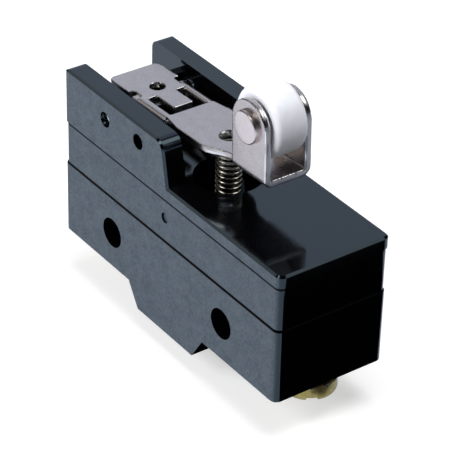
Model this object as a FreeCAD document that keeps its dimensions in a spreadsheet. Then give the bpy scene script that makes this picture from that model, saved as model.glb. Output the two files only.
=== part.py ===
import FreeCAD, Part
import math
import operator
import os
import Sketcher
from FreeCAD import Placement, Rotation, Vector

# Snap-action switch with a short hinged roller lever and three screw terminals.
# Millimetres. Origin: midway between the two mounting holes, at mid width.
# +X runs from the hinge end to the roller end, +Z is up, the photographed side is -Y.

doc = FreeCAD.newDocument("LeverMicroSwitch")
sheet = doc.addObject("Spreadsheet::Sheet", "Sizes")

# Driving sizes: alias, value, what it measures
driving_sizes = [
    ("body_length", 49.2, "moulded body, end to end"),
    ("body_width", 17.45, "moulded body, side to side"),
    ("corner_round", 1.0, "upright corners of the mouldings"),
    ("edge_bevel", 0.3, "top edges of the lever housing"),
    ("seam_bevel", 0.2, "top rims of the case and the middle cover, along the seams"),
    ("cover_inset", 0.13, "step of the middle cover behind the other two mouldings"),
    ("mount_spacing", 25.4, "between the mounting holes"),
    ("mount_hole", 4.36, "mounting hole diameter"),
    ("case_bottom", -5.38, "underside of the case at its ends"),
    ("foot_bottom", -8.9, "underside of the middle foot"),
    ("foot_top_half", 8.65, "half length of the foot where it leaves the case"),
    ("foot_bottom_half", 6.4, "half length of the foot's underside"),
    ("case_top", 5.62, "seam between case and middle cover"),
    ("cover_top", 12.04, "seam between middle cover and lever housing"),
    ("deck_top", 13.85, "top of the lever housing"),
    ("ear_top", 20.22, "top of the two ears"),
    ("ear_thick", 3.02, "thickness of each ear"),
    ("ear_end_low", 0.2, "front end of the ears at the deck"),
    ("ear_end_high", -1.1, "front end of the ears at their top"),
    ("ear_round", 1.7, "upper front corner of each ear"),
    ("ear_back_round", 1.3, "upper rear corner of each ear"),
    ("end_wall", 5.6, "contact chamber in from the body's ends"),
    ("chamber_half_width", 6.2, "contact chamber, half width"),
    ("chamber_floor", 3.55, "floor of the contact chamber"),
    ("chamber_ceiling", 8.8, "ceiling of the contact chamber"),
    ("well_diameter", 9.4, "round well for the return spring"),
    ("well_floor", 9.5, "floor of the well"),
    ("dimple_x", -0.4, "gate mark on the cover's side"),
    ("dimple_z", 9.04, "height of the gate mark"),
    ("dimple_diameter", 1.5, "gate mark"),
    ("dimple_depth", 0.35, "gate mark"),
    ("pivot_x", -14.35, "hinge pin"),
    ("pivot_z", 17.02, "hinge pin"),
    ("pin_diameter", 2.1, "hinge pin"),
    ("pin_recess", 0.5, "hinge pin's ends below the ears' faces"),
    ("pin_seat_gap", 0.04, "radial gap of the pin in the ears"),
    ("spare_x", -6.54, "spare cross hole in the ears"),
    ("spare_z", 17.56, "spare cross hole in the ears"),
    ("spare_diameter", 2.2, "spare cross hole in the ears"),
    ("boss_diameter", 4.0, "pin bosses inside the ears"),
    ("boss_side_gap", 0.15, "between a boss and the lever's hinge cheek"),
    ("stop_gap", 0.05, "lever tail over its stop wall"),
    ("stop_thick", 1.4, "stop wall under the lever's tail"),
    ("stop_back", 5.0, "stop wall's rear face behind the pin"),
    ("running_gap", 0.03, "radial gap of turning and sliding fits"),
    ("rest_tilt", 2.2, "lever's rise towards the roller at rest, degrees"),
    ("sheet_thick", 1.0, "lever sheet"),
    ("plate_low", 1.15, "lever plate's underside above the pin's axis"),
    ("tail_length", 6.3, "lever tail behind the pin"),
    ("tail_half", 4.05, "half width of the tail"),
    ("tail_round", 0.9, "tail corners"),
    ("notch_back", 1.3, "bend notch behind the pin"),
    ("notch_front", 0.65, "bend notch ahead of the pin, where the cheeks' bend starts"),
    ("notch_round", 0.5, "inner corners of the bend notch"),
    ("ring_back", 0.56, "full height of a cheek's round end, behind the pin"),
    ("ring_high", 0.92, "top of a cheek behind that, above the pin"),
    ("cheek_round", 1.85, "round end of a cheek about the pin"),
    ("cheek_front", 7.2, "hinge cheeks ahead of the pin"),
    ("cheek_outer_half", 4.4, "half width across the hinge cheeks"),
    ("cheek_bend", 1.2, "outer radius of the cheeks' bend"),
    ("cheek_lip", 0.4, "cheek left at its front end, below the plate"),
    ("shoulder_half", 3.8, "half width of the plate just ahead of the cheeks"),
    ("shoulder_front", 10.2, "where the plate reaches its full width"),
    ("plate_half", 4.35, "half width of the plate at its widest"),
    ("taper_start", 16.3, "where the plate starts to narrow"),
    ("taper_end", 19.6, "where the plate is at its narrowest"),
    ("neck_half", 2.55, "half width of the neck behind the roller"),
    ("taper_round", 3.4, "corners of the narrowing"),
    ("window_back", 1.7, "window's rear edge ahead of the pin"),
    ("window_front", 7.1, "window's front edge ahead of the pin"),
    ("window_half", 2.8, "half width of the window"),
    ("window_bevel", 0.35, "the window's long edges, drawn down by the cheeks' bend"),
    ("tongue_length", 4.05, "tongue in the window"),
    ("tongue_half", 1.55, "half width of the tongue"),
    ("sight_hole", 2.1, "hole in the plate near the pin"),
    ("plunger_sight", 2.3, "hole in the plate over the plunger"),
    ("sight_bevel", 0.35, "countersink of the hole over the plunger"),
    ("pin_sight_x", -0.45, "hole in the plate near the pin"),
    ("lever_radius", 26.6, "hinge pin to roller axis"),
    ("roller_rise", 8.75, "roller axis above the pin, square to the plate"),
    ("fork_outer_half", 3.65, "half width across the roller fork"),
    ("fork_arch", 3.55, "radius of the fork's rounded ends"),
    ("fork_bend", 1.3, "outer radius of the fork's bend"),
    ("arch_sink", 0.16, "foot of the fork's arches below the top of its bends"),
    ("roller_diameter", 9.5, "roller"),
    ("roller_width", 4.8, "roller"),
    ("roller_chamfer", 0.35, "roller's edges"),
    ("rivet_diameter", 2.1, "roller rivet's shank"),
    ("rivet_head", 4.6, "flat head on the near side"),
    ("rivet_head_thick", 0.7, "flat head on the near side"),
    ("rivet_head_bevel", 0.18, "rim of the flat head"),
    ("rivet_tail", 3.9, "peened head on the far side"),
    ("rivet_tail_thick", 0.85, "peened head on the far side"),
    ("rivet_tail_bevel", 0.55, "rim of the peened head"),
    ("plunger_x", 1.7, "plunger axis"),
    ("plunger_diameter", 2.4, "pin plunger's shaft"),
    ("foot_diameter", 4.6, "pin plunger's foot"),
    ("foot_thick", 0.6, "pin plunger's foot"),
    ("plunger_gap", 0.25, "plunger foot over the snap spring at rest"),
    ("plunger_stand", 0.5, "pin plunger's top over the well floor"),
    ("collar_diameter", 4.4, "spring guide's collar"),
    ("collar_thick", 0.5, "spring guide's collar"),
    ("stem_diameter", 1.4, "spring guide's stem"),
    ("stem_length", 6.8, "spring guide's stem above its collar"),
    ("stem_nose", 0.35, "bevel of the stem's end"),
    ("coil_diameter", 3.7, "return spring, outside"),
    ("wire_diameter", 0.4, "return spring wire"),
    ("coil_turns", 11.3, "return spring"),
    ("coil_end_gap", 0.02, "return spring to its seats"),
    ("strip_thick", 0.8, "terminal strip"),
    ("strip_width", 6.0, "terminal strip"),
    ("strip_gap", 0.05, "terminal strip in the case"),
    ("end_screw_inset", 4.2, "end terminal screws in from the body's ends"),
    ("riser_inset", 4.2, "end terminals' risers in from their screws"),
    ("plate_reach", 3.6, "terminal plates beyond their screws"),
    ("no_riser_x", 3.4, "near face of the middle terminal's riser"),
    ("nut_diameter", 6.2, "tapped boss of a terminal"),
    ("nut_height", 2.0, "tapped boss of a terminal"),
    ("contact_x", 13.5, "contacts"),
    ("arm_reach", 1.7, "fixed contact arms beyond the contacts"),
    ("contact_diameter", 2.6, "contact heads"),
    ("contact_shank", 1.3, "contact shanks"),
    ("contact_thick", 0.55, "moving contact's heads"),
    ("contact_rest_gap", 0.02, "moving contact to the upper contact at rest"),
    ("contact_gap", 0.52, "moving contact to the lower contact at rest"),
    ("nc_arm_low", 7.9, "underside of the upper contact's arm"),
    ("blade_low", 6.25, "underside of the snap spring"),
    ("blade_thick", 0.3, "snap spring sheet"),
    ("blade_heel", 1.6, "snap spring behind its rivet"),
    ("blade_tip", 15.2, "snap spring's front end"),
    ("blade_root_half", 3.0, "half width at the anchor"),
    ("blade_half", 3.8, "half width at the window"),
    ("blade_tip_half", 2.0, "half width at the contact"),
    ("slot_back", -8.0, "snap spring window, rear"),
    ("slot_front", 8.3, "snap spring window, front"),
    ("slot_half", 1.7, "snap spring window, half width"),
    ("bow_back", -6.4, "rear end of the bowed leg"),
    ("bow_half", 1.3, "half width of the bowed leg"),
    ("bow_sag", 1.3, "sag of the bowed leg"),
    ("anchor_reach", 3.5, "shelf of the common terminal"),
    ("anchor_gap", 0.05, "snap spring over the shelf"),
    ("post_half", 1.1, "half width of the post that holds the bowed leg"),
    ("post_top", 7.0, "top of the post"),
    ("post_gap", 0.3, "bowed leg to the post"),
    ("anchor_inset", 1.4, "rivet through the snap spring, in from the common terminal's riser"),
    ("anchor_rivet", 1.4, "rivet through the snap spring"),
    ("anchor_rivet_head", 2.4, "rivet through the snap spring"),
    ("anchor_rivet_gap", 0.15, "snap spring round and under the rivet"),
    ("screw_diameter", 3.9, "terminal screw thread"),
    ("screw_tip", 4.4, "terminal screw's end above the plate's underside"),
    ("screw_point", 0.49, "bevel of the screw's end"),
    ("screw_end_gap", 0.31, "room in the case past the screw's end"),
    ("screw_head", 7.9, "terminal screw head"),
    ("screw_head_thick", 2.2, "terminal screw head"),
    ("screw_head_round", 0.5, "terminal screw head's rim"),
    ("screw_slot", 1.1, "slot across the head"),
    ("screw_slot_depth", 0.9, "slot across the head"),
    ("screw_turn", -30.0, "slot's direction, degrees from +X"),
    ("washer_thick", 0.9, "toothed washer over its teeth"),
    ("washer_sheet", 0.45, "toothed washer's ring"),
    ("washer_ring", 6.4, "toothed washer's ring, outside"),
    ("washer_outer", 7.7, "toothed washer over its teeth"),
    ("washer_bore", 4.1, "toothed washer"),
    ("washer_teeth", 12, "teeth of the washer"),
    ("tooth_width", 0.8, "tooth of the washer"),
]


class Size:
    """A sheet value, or a formula of sheet values, known both as a number and as an expression."""

    def __init__(self, value, text):
        self.value = value
        self.text = text

    def __add__(self, other):
        return combine(self, "+", other)

    def __radd__(self, other):
        return combine(other, "+", self)

    def __sub__(self, other):
        return combine(self, "-", other)

    def __rsub__(self, other):
        return combine(other, "-", self)

    def __mul__(self, other):
        return combine(self, "*", other)

    def __rmul__(self, other):
        return combine(other, "*", self)

    def __truediv__(self, other):
        return combine(self, "/", other)

    def __neg__(self):
        return combine(0, "-", self)


arithmetic = {"+": operator.add, "-": operator.sub, "*": operator.mul, "/": operator.truediv}


def as_size(item):
    return item if isinstance(item, Size) else Size(float(item), str(item))


def combine(left, sign, right):
    left = as_size(left)
    right = as_size(right)
    return Size(arithmetic[sign](left.value, right.value), f"({left.text} {sign} {right.text})")


def root_of(size):
    return Size(math.sqrt(size.value), f"sqrt({size.text})")


class Sizes:
    """The sheet's values by alias, such as d.body_length."""


d = Sizes()
for row, (alias, value, meaning) in enumerate(driving_sizes, start=1):
    sheet.set(f"A{row}", alias)
    sheet.set(f"B{row}", str(value))
    sheet.set(f"C{row}", meaning)
    sheet.setAlias(f"B{row}", alias)
    setattr(d, alias, Size(value, f"Sizes.{alias}"))
doc.recompute()

# Places worked out from the driving sizes
half_length = d.body_length / 2
half_width = d.body_width / 2
channel_half = half_width - d.ear_thick
chamber_half_length = half_length - d.end_wall
end_screw_x = half_length - d.end_screw_inset
riser_x = end_screw_x - d.riser_inset
anchor_x = d.anchor_inset - riser_x
blade_back = anchor_x - d.blade_heel
tilt_sine = Size(math.sin(math.radians(d.rest_tilt.value)), "sin(Sizes.rest_tilt)")
tilt_cosine = Size(math.cos(math.radians(d.rest_tilt.value)), "cos(Sizes.rest_tilt)")
plate_high = d.plate_low + d.sheet_thick
roller_reach = root_of(d.lever_radius * d.lever_radius - d.roller_rise * d.roller_rise)
fork_back = roller_reach - d.fork_arch
fork_front = roller_reach + d.fork_arch
riser_far = riser_x + d.strip_thick
no_riser_far = d.no_riser_x + d.strip_thick
blade_high = d.blade_low + d.blade_thick
plunger_foot_low = blade_high + d.plunger_gap
plunger_top = d.well_floor + d.plunger_stand
collar_top = plunger_top + d.collar_thick
shelf_top = d.blade_low - d.anchor_gap
shelf_front = d.anchor_reach - riser_x
moving_high = blade_high + d.contact_thick
moving_low = d.blade_low - d.contact_thick


def plate_underside(x):
    """Height of the lever plate's underside at rest, above a place along the body."""
    return d.pivot_z + (d.plate_low + (x - d.pivot_x) * tilt_sine) / tilt_cosine


def beyond(size):
    """Well past a size, for a cut that has to leave the solid."""
    return 2 * size


def bind(target, path, size):
    """Tie a property to the sheet, or set it where the size is a plain number."""
    target.setExpression(path, as_size(size).text)


def new_body(label):
    body = doc.addObject("PartDesign::Body", label)
    body.Label = label
    return body


def new_sketch(body, name, plane, offset=0):
    """A sketch on one of the body's own origin planes, moved along that plane's normal."""
    sketch = body.newObject("Sketcher::SketchObject", name)
    support = [item for item in body.Origin.OriginFeatures if item.Role == plane][0]
    sketch.AttachmentSupport = [(support, "")]
    sketch.MapMode = "FlatFace"
    bind(sketch, "AttachmentOffset.Base.z", offset)
    return sketch


def fix_point(sketch, geometry, point, u, v):
    """Hold a point of the sketch at a place given by sheet values."""
    for kind, size in (("DistanceX", as_size(u)), ("DistanceY", as_size(v))):
        number = sketch.addConstraint(Sketcher.Constraint(kind, geometry, point, size.value))
        if "Sizes." in size.text:
            sketch.setExpression(f"Constraints[{number}]", size.text)


def draw_outline(sketch, corners):
    """A closed outline of straight edges."""
    first = sketch.GeometryCount
    places = [Vector(as_size(u).value, as_size(v).value, 0) for u, v in corners]
    count = len(places)
    for index, place in enumerate(places):
        sketch.addGeometry(Part.LineSegment(place, places[(index + 1) % count]))
    for index in range(count):
        joined = first + (index + 1) % count
        sketch.addConstraint(Sketcher.Constraint("Coincident", first + index, 2, joined, 1))
    for index, (u, v) in enumerate(corners):
        fix_point(sketch, first + index, 1, u, v)


def draw_box(sketch, u_low, v_low, u_high, v_high):
    draw_outline(sketch, [(u_low, v_low), (u_high, v_low), (u_high, v_high), (u_low, v_high)])


def draw_circle(sketch, u, v, diameter):
    centre = Vector(as_size(u).value, as_size(v).value, 0)
    circle = sketch.addGeometry(Part.Circle(centre, Vector(0, 0, 1), diameter.value / 2))
    number = sketch.addConstraint(Sketcher.Constraint("Diameter", circle, diameter.value))
    sketch.setExpression(f"Constraints[{number}]", diameter.text)
    fix_point(sketch, circle, 3, u, v)


def draw_arch(sketch, u, v, radius, base):
    """A rounded end: a half circle over two straight sides that stand on a base line."""
    reach = radius.value
    centre = Vector(u.value, v.value, 0)
    circle = Part.Circle(centre, Vector(0, 0, 1), reach)
    right = centre + Vector(reach, 0, 0)
    left = centre - Vector(reach, 0, 0)
    right_foot = Vector(right.x, base.value, 0)
    left_foot = Vector(left.x, base.value, 0)
    arc = sketch.addGeometry(Part.ArcOfCircle(circle, 0, math.pi))
    left_side = sketch.addGeometry(Part.LineSegment(left, left_foot))
    foot = sketch.addGeometry(Part.LineSegment(left_foot, right_foot))
    right_side = sketch.addGeometry(Part.LineSegment(right_foot, right))
    for one, one_end, other, other_end in (
        (arc, 2, left_side, 1),
        (left_side, 2, foot, 1),
        (foot, 2, right_side, 1),
        (right_side, 2, arc, 1),
    ):
        sketch.addConstraint(Sketcher.Constraint("Coincident", one, one_end, other, other_end))
    fix_point(sketch, arc, 3, u, v)
    sketch.addConstraint(Sketcher.Constraint("Horizontal", arc, 1, arc, 3))
    sketch.addConstraint(Sketcher.Constraint("Horizontal", arc, 2, arc, 3))
    sketch.addConstraint(Sketcher.Constraint("Vertical", left_side))
    sketch.addConstraint(Sketcher.Constraint("Vertical", right_side))
    sketch.addConstraint(Sketcher.Constraint("Horizontal", foot))
    for kind, line, size in (("Radius", arc, radius), ("DistanceY", foot, base)):
        ends = [line, reach] if kind == "Radius" else [line, 1, size.value]
        number = sketch.addConstraint(Sketcher.Constraint(kind, *ends))
        sketch.setExpression(f"Constraints[{number}]", size.text)


def draw_corner_waste(sketch, u, v, radius):
    """What is cut away to round off an upper left corner: a square round it, less the inscribed arc."""
    reach = radius.value
    centre = Vector(u.value + reach, v.value - reach, 0)
    low = Vector(u.value, centre.y, 0)
    high = Vector(centre.x, v.value, 0)
    arc = sketch.addGeometry(Part.ArcOfCircle(Part.Circle(centre, Vector(0, 0, 1), reach), math.pi / 2, math.pi))
    outside = [
        high,
        Vector(high.x, v.value + reach, 0),
        Vector(u.value - reach, v.value + reach, 0),
        Vector(u.value - reach, low.y, 0),
        low,
    ]
    lines = [sketch.addGeometry(Part.LineSegment(one, other)) for one, other in zip(outside, outside[1:])]
    ends = [(arc, 1)] + [(line, point) for line in lines for point in (1, 2)] + [(arc, 2)]
    for (one, one_end), (other, other_end) in zip(ends[::2], ends[1::2]):
        sketch.addConstraint(Sketcher.Constraint("Coincident", one, one_end, other, other_end))
    fix_point(sketch, arc, 3, u + radius, v - radius)
    sketch.addConstraint(Sketcher.Constraint("Vertical", arc, 1, arc, 3))
    sketch.addConstraint(Sketcher.Constraint("Horizontal", arc, 2, arc, 3))
    number = sketch.addConstraint(Sketcher.Constraint("Radius", arc, reach))
    sketch.setExpression(f"Constraints[{number}]", radius.text)
    fix_point(sketch, lines[1], 1, u + radius, v + radius)
    fix_point(sketch, lines[2], 1, u - radius, v + radius)
    sketch.addConstraint(Sketcher.Constraint("Vertical", lines[2]))
    sketch.addConstraint(Sketcher.Constraint("Horizontal", lines[3]))


def draw_bow(sketch, u, v, radius, thick, u_low, u_high):
    """A bowed strip that hangs below its centre of curvature, cut off square at both ends."""
    corners = []
    arcs = []
    for reach in (radius, radius + thick):
        centre = Vector(u.value, v.value, 0)
        ends = [math.asin((end.value - u.value) / reach.value) - math.pi / 2 for end in (u_low, u_high)]
        circle = Part.Circle(centre, Vector(0, 0, 1), reach.value)
        arc = sketch.addGeometry(Part.ArcOfCircle(circle, ends[0], ends[1]))
        fix_point(sketch, arc, 3, u, v)
        number = sketch.addConstraint(Sketcher.Constraint("Radius", arc, reach.value))
        sketch.setExpression(f"Constraints[{number}]", reach.text)
        for point, end in ((1, u_low), (2, u_high)):
            number = sketch.addConstraint(Sketcher.Constraint("DistanceX", arc, point, end.value))
            sketch.setExpression(f"Constraints[{number}]", end.text)
        arcs.append(arc)
        corners.append([sketch.getPoint(arc, 1), sketch.getPoint(arc, 2)])
    for point in (1, 2):
        side = sketch.addGeometry(Part.LineSegment(corners[0][point - 1], corners[1][point - 1]))
        sketch.addConstraint(Sketcher.Constraint("Coincident", side, 1, arcs[0], point))
        sketch.addConstraint(Sketcher.Constraint("Coincident", side, 2, arcs[1], point))


def pad(body, sketch, length, both_ways=False, backwards=False):
    feature = body.newObject("PartDesign::Pad", sketch.Name + "Pad")
    feature.Profile = sketch
    feature.SideType = "Symmetric" if both_ways else "One side"
    feature.Reversed = backwards
    bind(feature, "Length", length)
    return feature


def pocket(body, sketch, length, both_ways=False, backwards=False):
    feature = body.newObject("PartDesign::Pocket", sketch.Name + "Cut")
    feature.Profile = sketch
    feature.SideType = "Symmetric" if both_ways else "One side"
    feature.Reversed = backwards
    bind(feature, "Length", length)
    return feature


def revolve(body, sketch):
    """Turn a profile drawn beside the sketch's upright axis through a full circle."""
    feature = body.newObject("PartDesign::Revolution", sketch.Name + "Turned")
    feature.Profile = sketch
    feature.ReferenceAxis = (sketch, ["V_Axis"])
    feature.Angle = 360
    return feature


def pick_edges(feature, wanted):
    """Names of the edges whose bounding box passes the test."""
    doc.recompute()
    names = []
    for number, edge in enumerate(feature.Shape.Edges, start=1):
        if wanted(edge.BoundBox):
            names.append(f"Edge{number}")
    return names


def near(value, size):
    return abs(value - as_size(size).value) < 1e-4


def is_upright(box):
    return box.XLength < 1e-4 and box.YLength < 1e-4


def soften(body, kind, base, edges, prop, size):
    """Round or bevel the named edges of a feature."""
    feature = body.newObject(kind, base.Name + kind.split("::")[1])
    feature.Base = (base, edges)
    bind(feature, prop, size)
    body.Tip = feature
    return feature


def round_edges(body, base, wanted, size):
    return soften(body, "PartDesign::Fillet", base, pick_edges(base, wanted), "Radius", size)


def bevel_edges(body, base, wanted, size):
    return soften(body, "PartDesign::Chamfer", base, pick_edges(base, wanted), "Size", size)


def bevel_seam(body, block, top):
    """Bevel the whole rim of a block's top face, where the next moulding sits on it."""
    return bevel_edges(body, block, lambda box: near(box.ZMin, top) and near(box.ZMax, top), d.seam_bevel)


def mirror_across(body, feature, plane):
    """Repeat a feature on the other side of one of the body's origin planes."""
    copy = body.newObject("PartDesign::Mirrored", feature.Name + "Mirrored")
    copy.Originals = [feature]
    support = [item for item in body.Origin.OriginFeatures if item.Role == plane][0]
    copy.MirrorPlane = (support, [""])
    body.Tip = copy
    return copy


def end_plate_cut(body, side):
    """L-shaped room for an end terminal: its plate in the underside and its riser up to the chamber."""
    gap = d.strip_gap
    low = d.case_bottom - gap
    ledge = d.case_bottom + d.strip_thick + gap
    inner = side * (riser_x - gap)
    riser = side * (riser_far + gap)
    outer = side * (end_screw_x + d.plate_reach + gap)
    name = "ComRoom" if side < 0 else "NcRoom"
    sketch = new_sketch(body, name, "XZ_Plane")
    corners = [(outer, low), (inner, low), (inner, d.case_top), (riser, d.case_top), (riser, ledge), (outer, ledge)]
    draw_outline(sketch, corners)
    return pocket(body, sketch, d.strip_width + 2 * gap, both_ways=True)


def nut_cut(body, name, x, plate_bottom):
    """Round room above a terminal plate for its tapped boss and the screw's end."""
    sketch = new_sketch(body, name, "XY_Plane", plate_bottom + d.strip_thick)
    draw_circle(sketch, x, 0, d.nut_diameter + 2 * d.strip_gap)
    depth = d.screw_tip - d.strip_thick + d.screw_end_gap
    return pocket(body, sketch, depth, backwards=True)


def make_case():
    """Lower moulding: mounting holes, middle foot, terminal rooms and the chamber's lower half."""
    body = new_body("case")
    outline = new_sketch(body, "CaseOutline", "XZ_Plane")
    draw_outline(outline, [
        (-half_length, d.case_bottom),
        (-d.foot_top_half, d.case_bottom),
        (-d.foot_bottom_half, d.foot_bottom),
        (d.foot_bottom_half, d.foot_bottom),
        (d.foot_top_half, d.case_bottom),
        (half_length, d.case_bottom),
        (half_length, d.case_top),
        (-half_length, d.case_top),
    ])
    block = pad(body, outline, d.body_width, both_ways=True)
    rounded = round_edges(body, block, is_upright, d.corner_round)
    bevel_seam(body, rounded, d.case_top)

    chamber = new_sketch(body, "CaseChamber", "XY_Plane", d.case_top)
    draw_box(chamber, -chamber_half_length, -d.chamber_half_width, chamber_half_length, d.chamber_half_width)
    pocket(body, chamber, d.case_top - d.chamber_floor)

    holes = new_sketch(body, "MountHoles", "XZ_Plane")
    for side in (-1, 1):
        draw_circle(holes, side * d.mount_spacing / 2, 0, d.mount_hole)
    pocket(body, holes, beyond(d.body_width), both_ways=True)

    for side in (-1, 1):
        end_plate_cut(body, side)
        nut_cut(body, "ComNutRoom" if side < 0 else "NcNutRoom", side * end_screw_x, d.case_bottom)

    gap = d.strip_gap
    ledge = d.foot_bottom + d.strip_thick + gap
    low = d.foot_bottom - gap
    middle = new_sketch(body, "NoRoom", "XZ_Plane")
    draw_outline(middle, [
        (-no_riser_far - gap, low),
        (no_riser_far + gap, low),
        (no_riser_far + gap, d.case_top),
        (d.no_riser_x - gap, d.case_top),
        (d.no_riser_x - gap, ledge),
        (-no_riser_far - gap, ledge),
    ])
    pocket(body, middle, d.strip_width + 2 * gap, both_ways=True)
    nut_cut(body, "NoNutRoom", 0, d.foot_bottom)
    return body


def make_middle_cover():
    """Middle moulding: roof of the contact chamber, plunger bore and the spring well's lower part."""
    body = new_body("middle_cover")
    outline = new_sketch(body, "CoverOutline", "XY_Plane", d.case_top)
    reach = half_length - d.cover_inset
    side = half_width - d.cover_inset
    draw_box(outline, -reach, -side, reach, side)
    block = pad(body, outline, d.cover_top - d.case_top)
    rounded = round_edges(body, block, is_upright, d.corner_round)
    bevel_seam(body, rounded, d.cover_top)

    chamber = new_sketch(body, "CoverChamber", "XY_Plane", d.case_top)
    draw_box(chamber, -chamber_half_length, -d.chamber_half_width, chamber_half_length, d.chamber_half_width)
    pocket(body, chamber, d.chamber_ceiling - d.case_top, backwards=True)

    well = new_sketch(body, "CoverWell", "XY_Plane", d.cover_top)
    draw_circle(well, d.plunger_x, 0, d.well_diameter)
    pocket(body, well, d.cover_top - d.well_floor)

    bore = new_sketch(body, "PlungerBore", "XY_Plane", d.cover_top)
    draw_circle(bore, d.plunger_x, 0, d.plunger_diameter + 2 * d.running_gap)
    pocket(body, bore, d.cover_top - d.case_top)

    mark = new_sketch(body, "GateMark", "XZ_Plane", side)
    draw_circle(mark, d.dimple_x, d.dimple_z, d.dimple_diameter)
    pocket(body, mark, d.dimple_depth)
    return body


def make_lever_housing():
    """Top moulding: deck, two ears that carry the hinge pin, pin bosses, tail stop and spring well."""
    body = new_body("lever_housing")
    outline = new_sketch(body, "HousingOutline", "XZ_Plane")
    draw_outline(outline, [
        (-half_length, d.cover_top),
        (half_length, d.cover_top),
        (half_length, d.deck_top),
        (d.ear_end_low, d.deck_top),
        (d.ear_end_high, d.ear_top),
        (-half_length, d.ear_top),
    ])
    block = pad(body, outline, d.body_width, both_ways=True)
    rounded = round_edges(body, block, is_upright, d.corner_round)

    def is_ear_corner(box):
        return near(box.XMin, d.ear_end_high) and near(box.XMax, d.ear_end_high) and near(box.ZMin, d.ear_top)

    rounded = round_edges(body, rounded, is_ear_corner, d.ear_round)

    def is_top_rim(box):
        on_side = box.YLength < 1e-4 and near(abs(box.YMin), half_width)
        on_front = box.XLength < 1e-4 and near(box.XMin, half_length)
        high = box.ZMin > d.deck_top.value - 1e-4
        return high and (on_side or on_front) and box.ZMax - box.ZMin < beyond(d.ear_round).value

    bevel_edges(body, rounded, is_top_rim, d.edge_bevel)

    back = new_sketch(body, "EarBackCorner", "XZ_Plane")
    draw_corner_waste(back, -half_length, d.ear_top, d.ear_back_round)
    pocket(body, back, beyond(d.body_width), both_ways=True)

    channel = new_sketch(body, "EarChannel", "XY_Plane", d.ear_top)
    draw_box(channel, -d.body_length, -channel_half, d.body_length, channel_half)
    pocket(body, channel, d.ear_top - d.deck_top)

    stop = new_sketch(body, "TailStop", "XY_Plane", d.deck_top)
    stop_back = d.pivot_x - d.stop_back
    draw_box(stop, stop_back, -channel_half, stop_back + d.stop_thick, channel_half)
    pad(body, stop, plate_underside(stop_back) - d.stop_gap - d.deck_top)

    boss = new_sketch(body, "PinBoss", "XZ_Plane", -half_width + d.ear_thick / 2)
    draw_circle(boss, d.pivot_x, d.pivot_z, d.boss_diameter)
    boss_height = half_width - d.ear_thick / 2 - d.cheek_outer_half - d.boss_side_gap
    mirror_across(body, pad(body, boss, boss_height), "XZ_Plane")

    holes = new_sketch(body, "CrossHoles", "XZ_Plane")
    draw_circle(holes, d.pivot_x, d.pivot_z, d.pin_diameter + 2 * d.pin_seat_gap)
    draw_circle(holes, d.spare_x, d.spare_z, d.spare_diameter)
    pocket(body, holes, beyond(d.body_width), both_ways=True)

    well = new_sketch(body, "DeckWell", "XY_Plane", d.deck_top)
    draw_circle(well, d.plunger_x, 0, d.well_diameter)
    pocket(body, well, d.deck_top - d.cover_top)
    return body


def make_hinge_pin():
    body = new_body("hinge_pin")
    section = new_sketch(body, "PinSection", "XZ_Plane")
    draw_circle(section, d.pivot_x, d.pivot_z, d.pin_diameter)
    pad(body, section, d.body_width - 2 * d.pin_recess, both_ways=True)
    return body


def hang_on_pivot(body):
    """Lever-borne pieces are drawn from the pin's axis, square to the plate, and turned to their rest."""
    body.Placement = Placement(Vector(0, 0, 0), Rotation(Vector(0, -1, 0), d.rest_tilt.value))
    bind(body, "Placement.Base.x", d.pivot_x)
    bind(body, "Placement.Base.z", d.pivot_z)
    bind(body, "Placement.Rotation.Angle", d.rest_tilt)


# A fillet that took the whole of a narrow end would leave an edge of no length
full_round_share = 0.9


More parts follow.
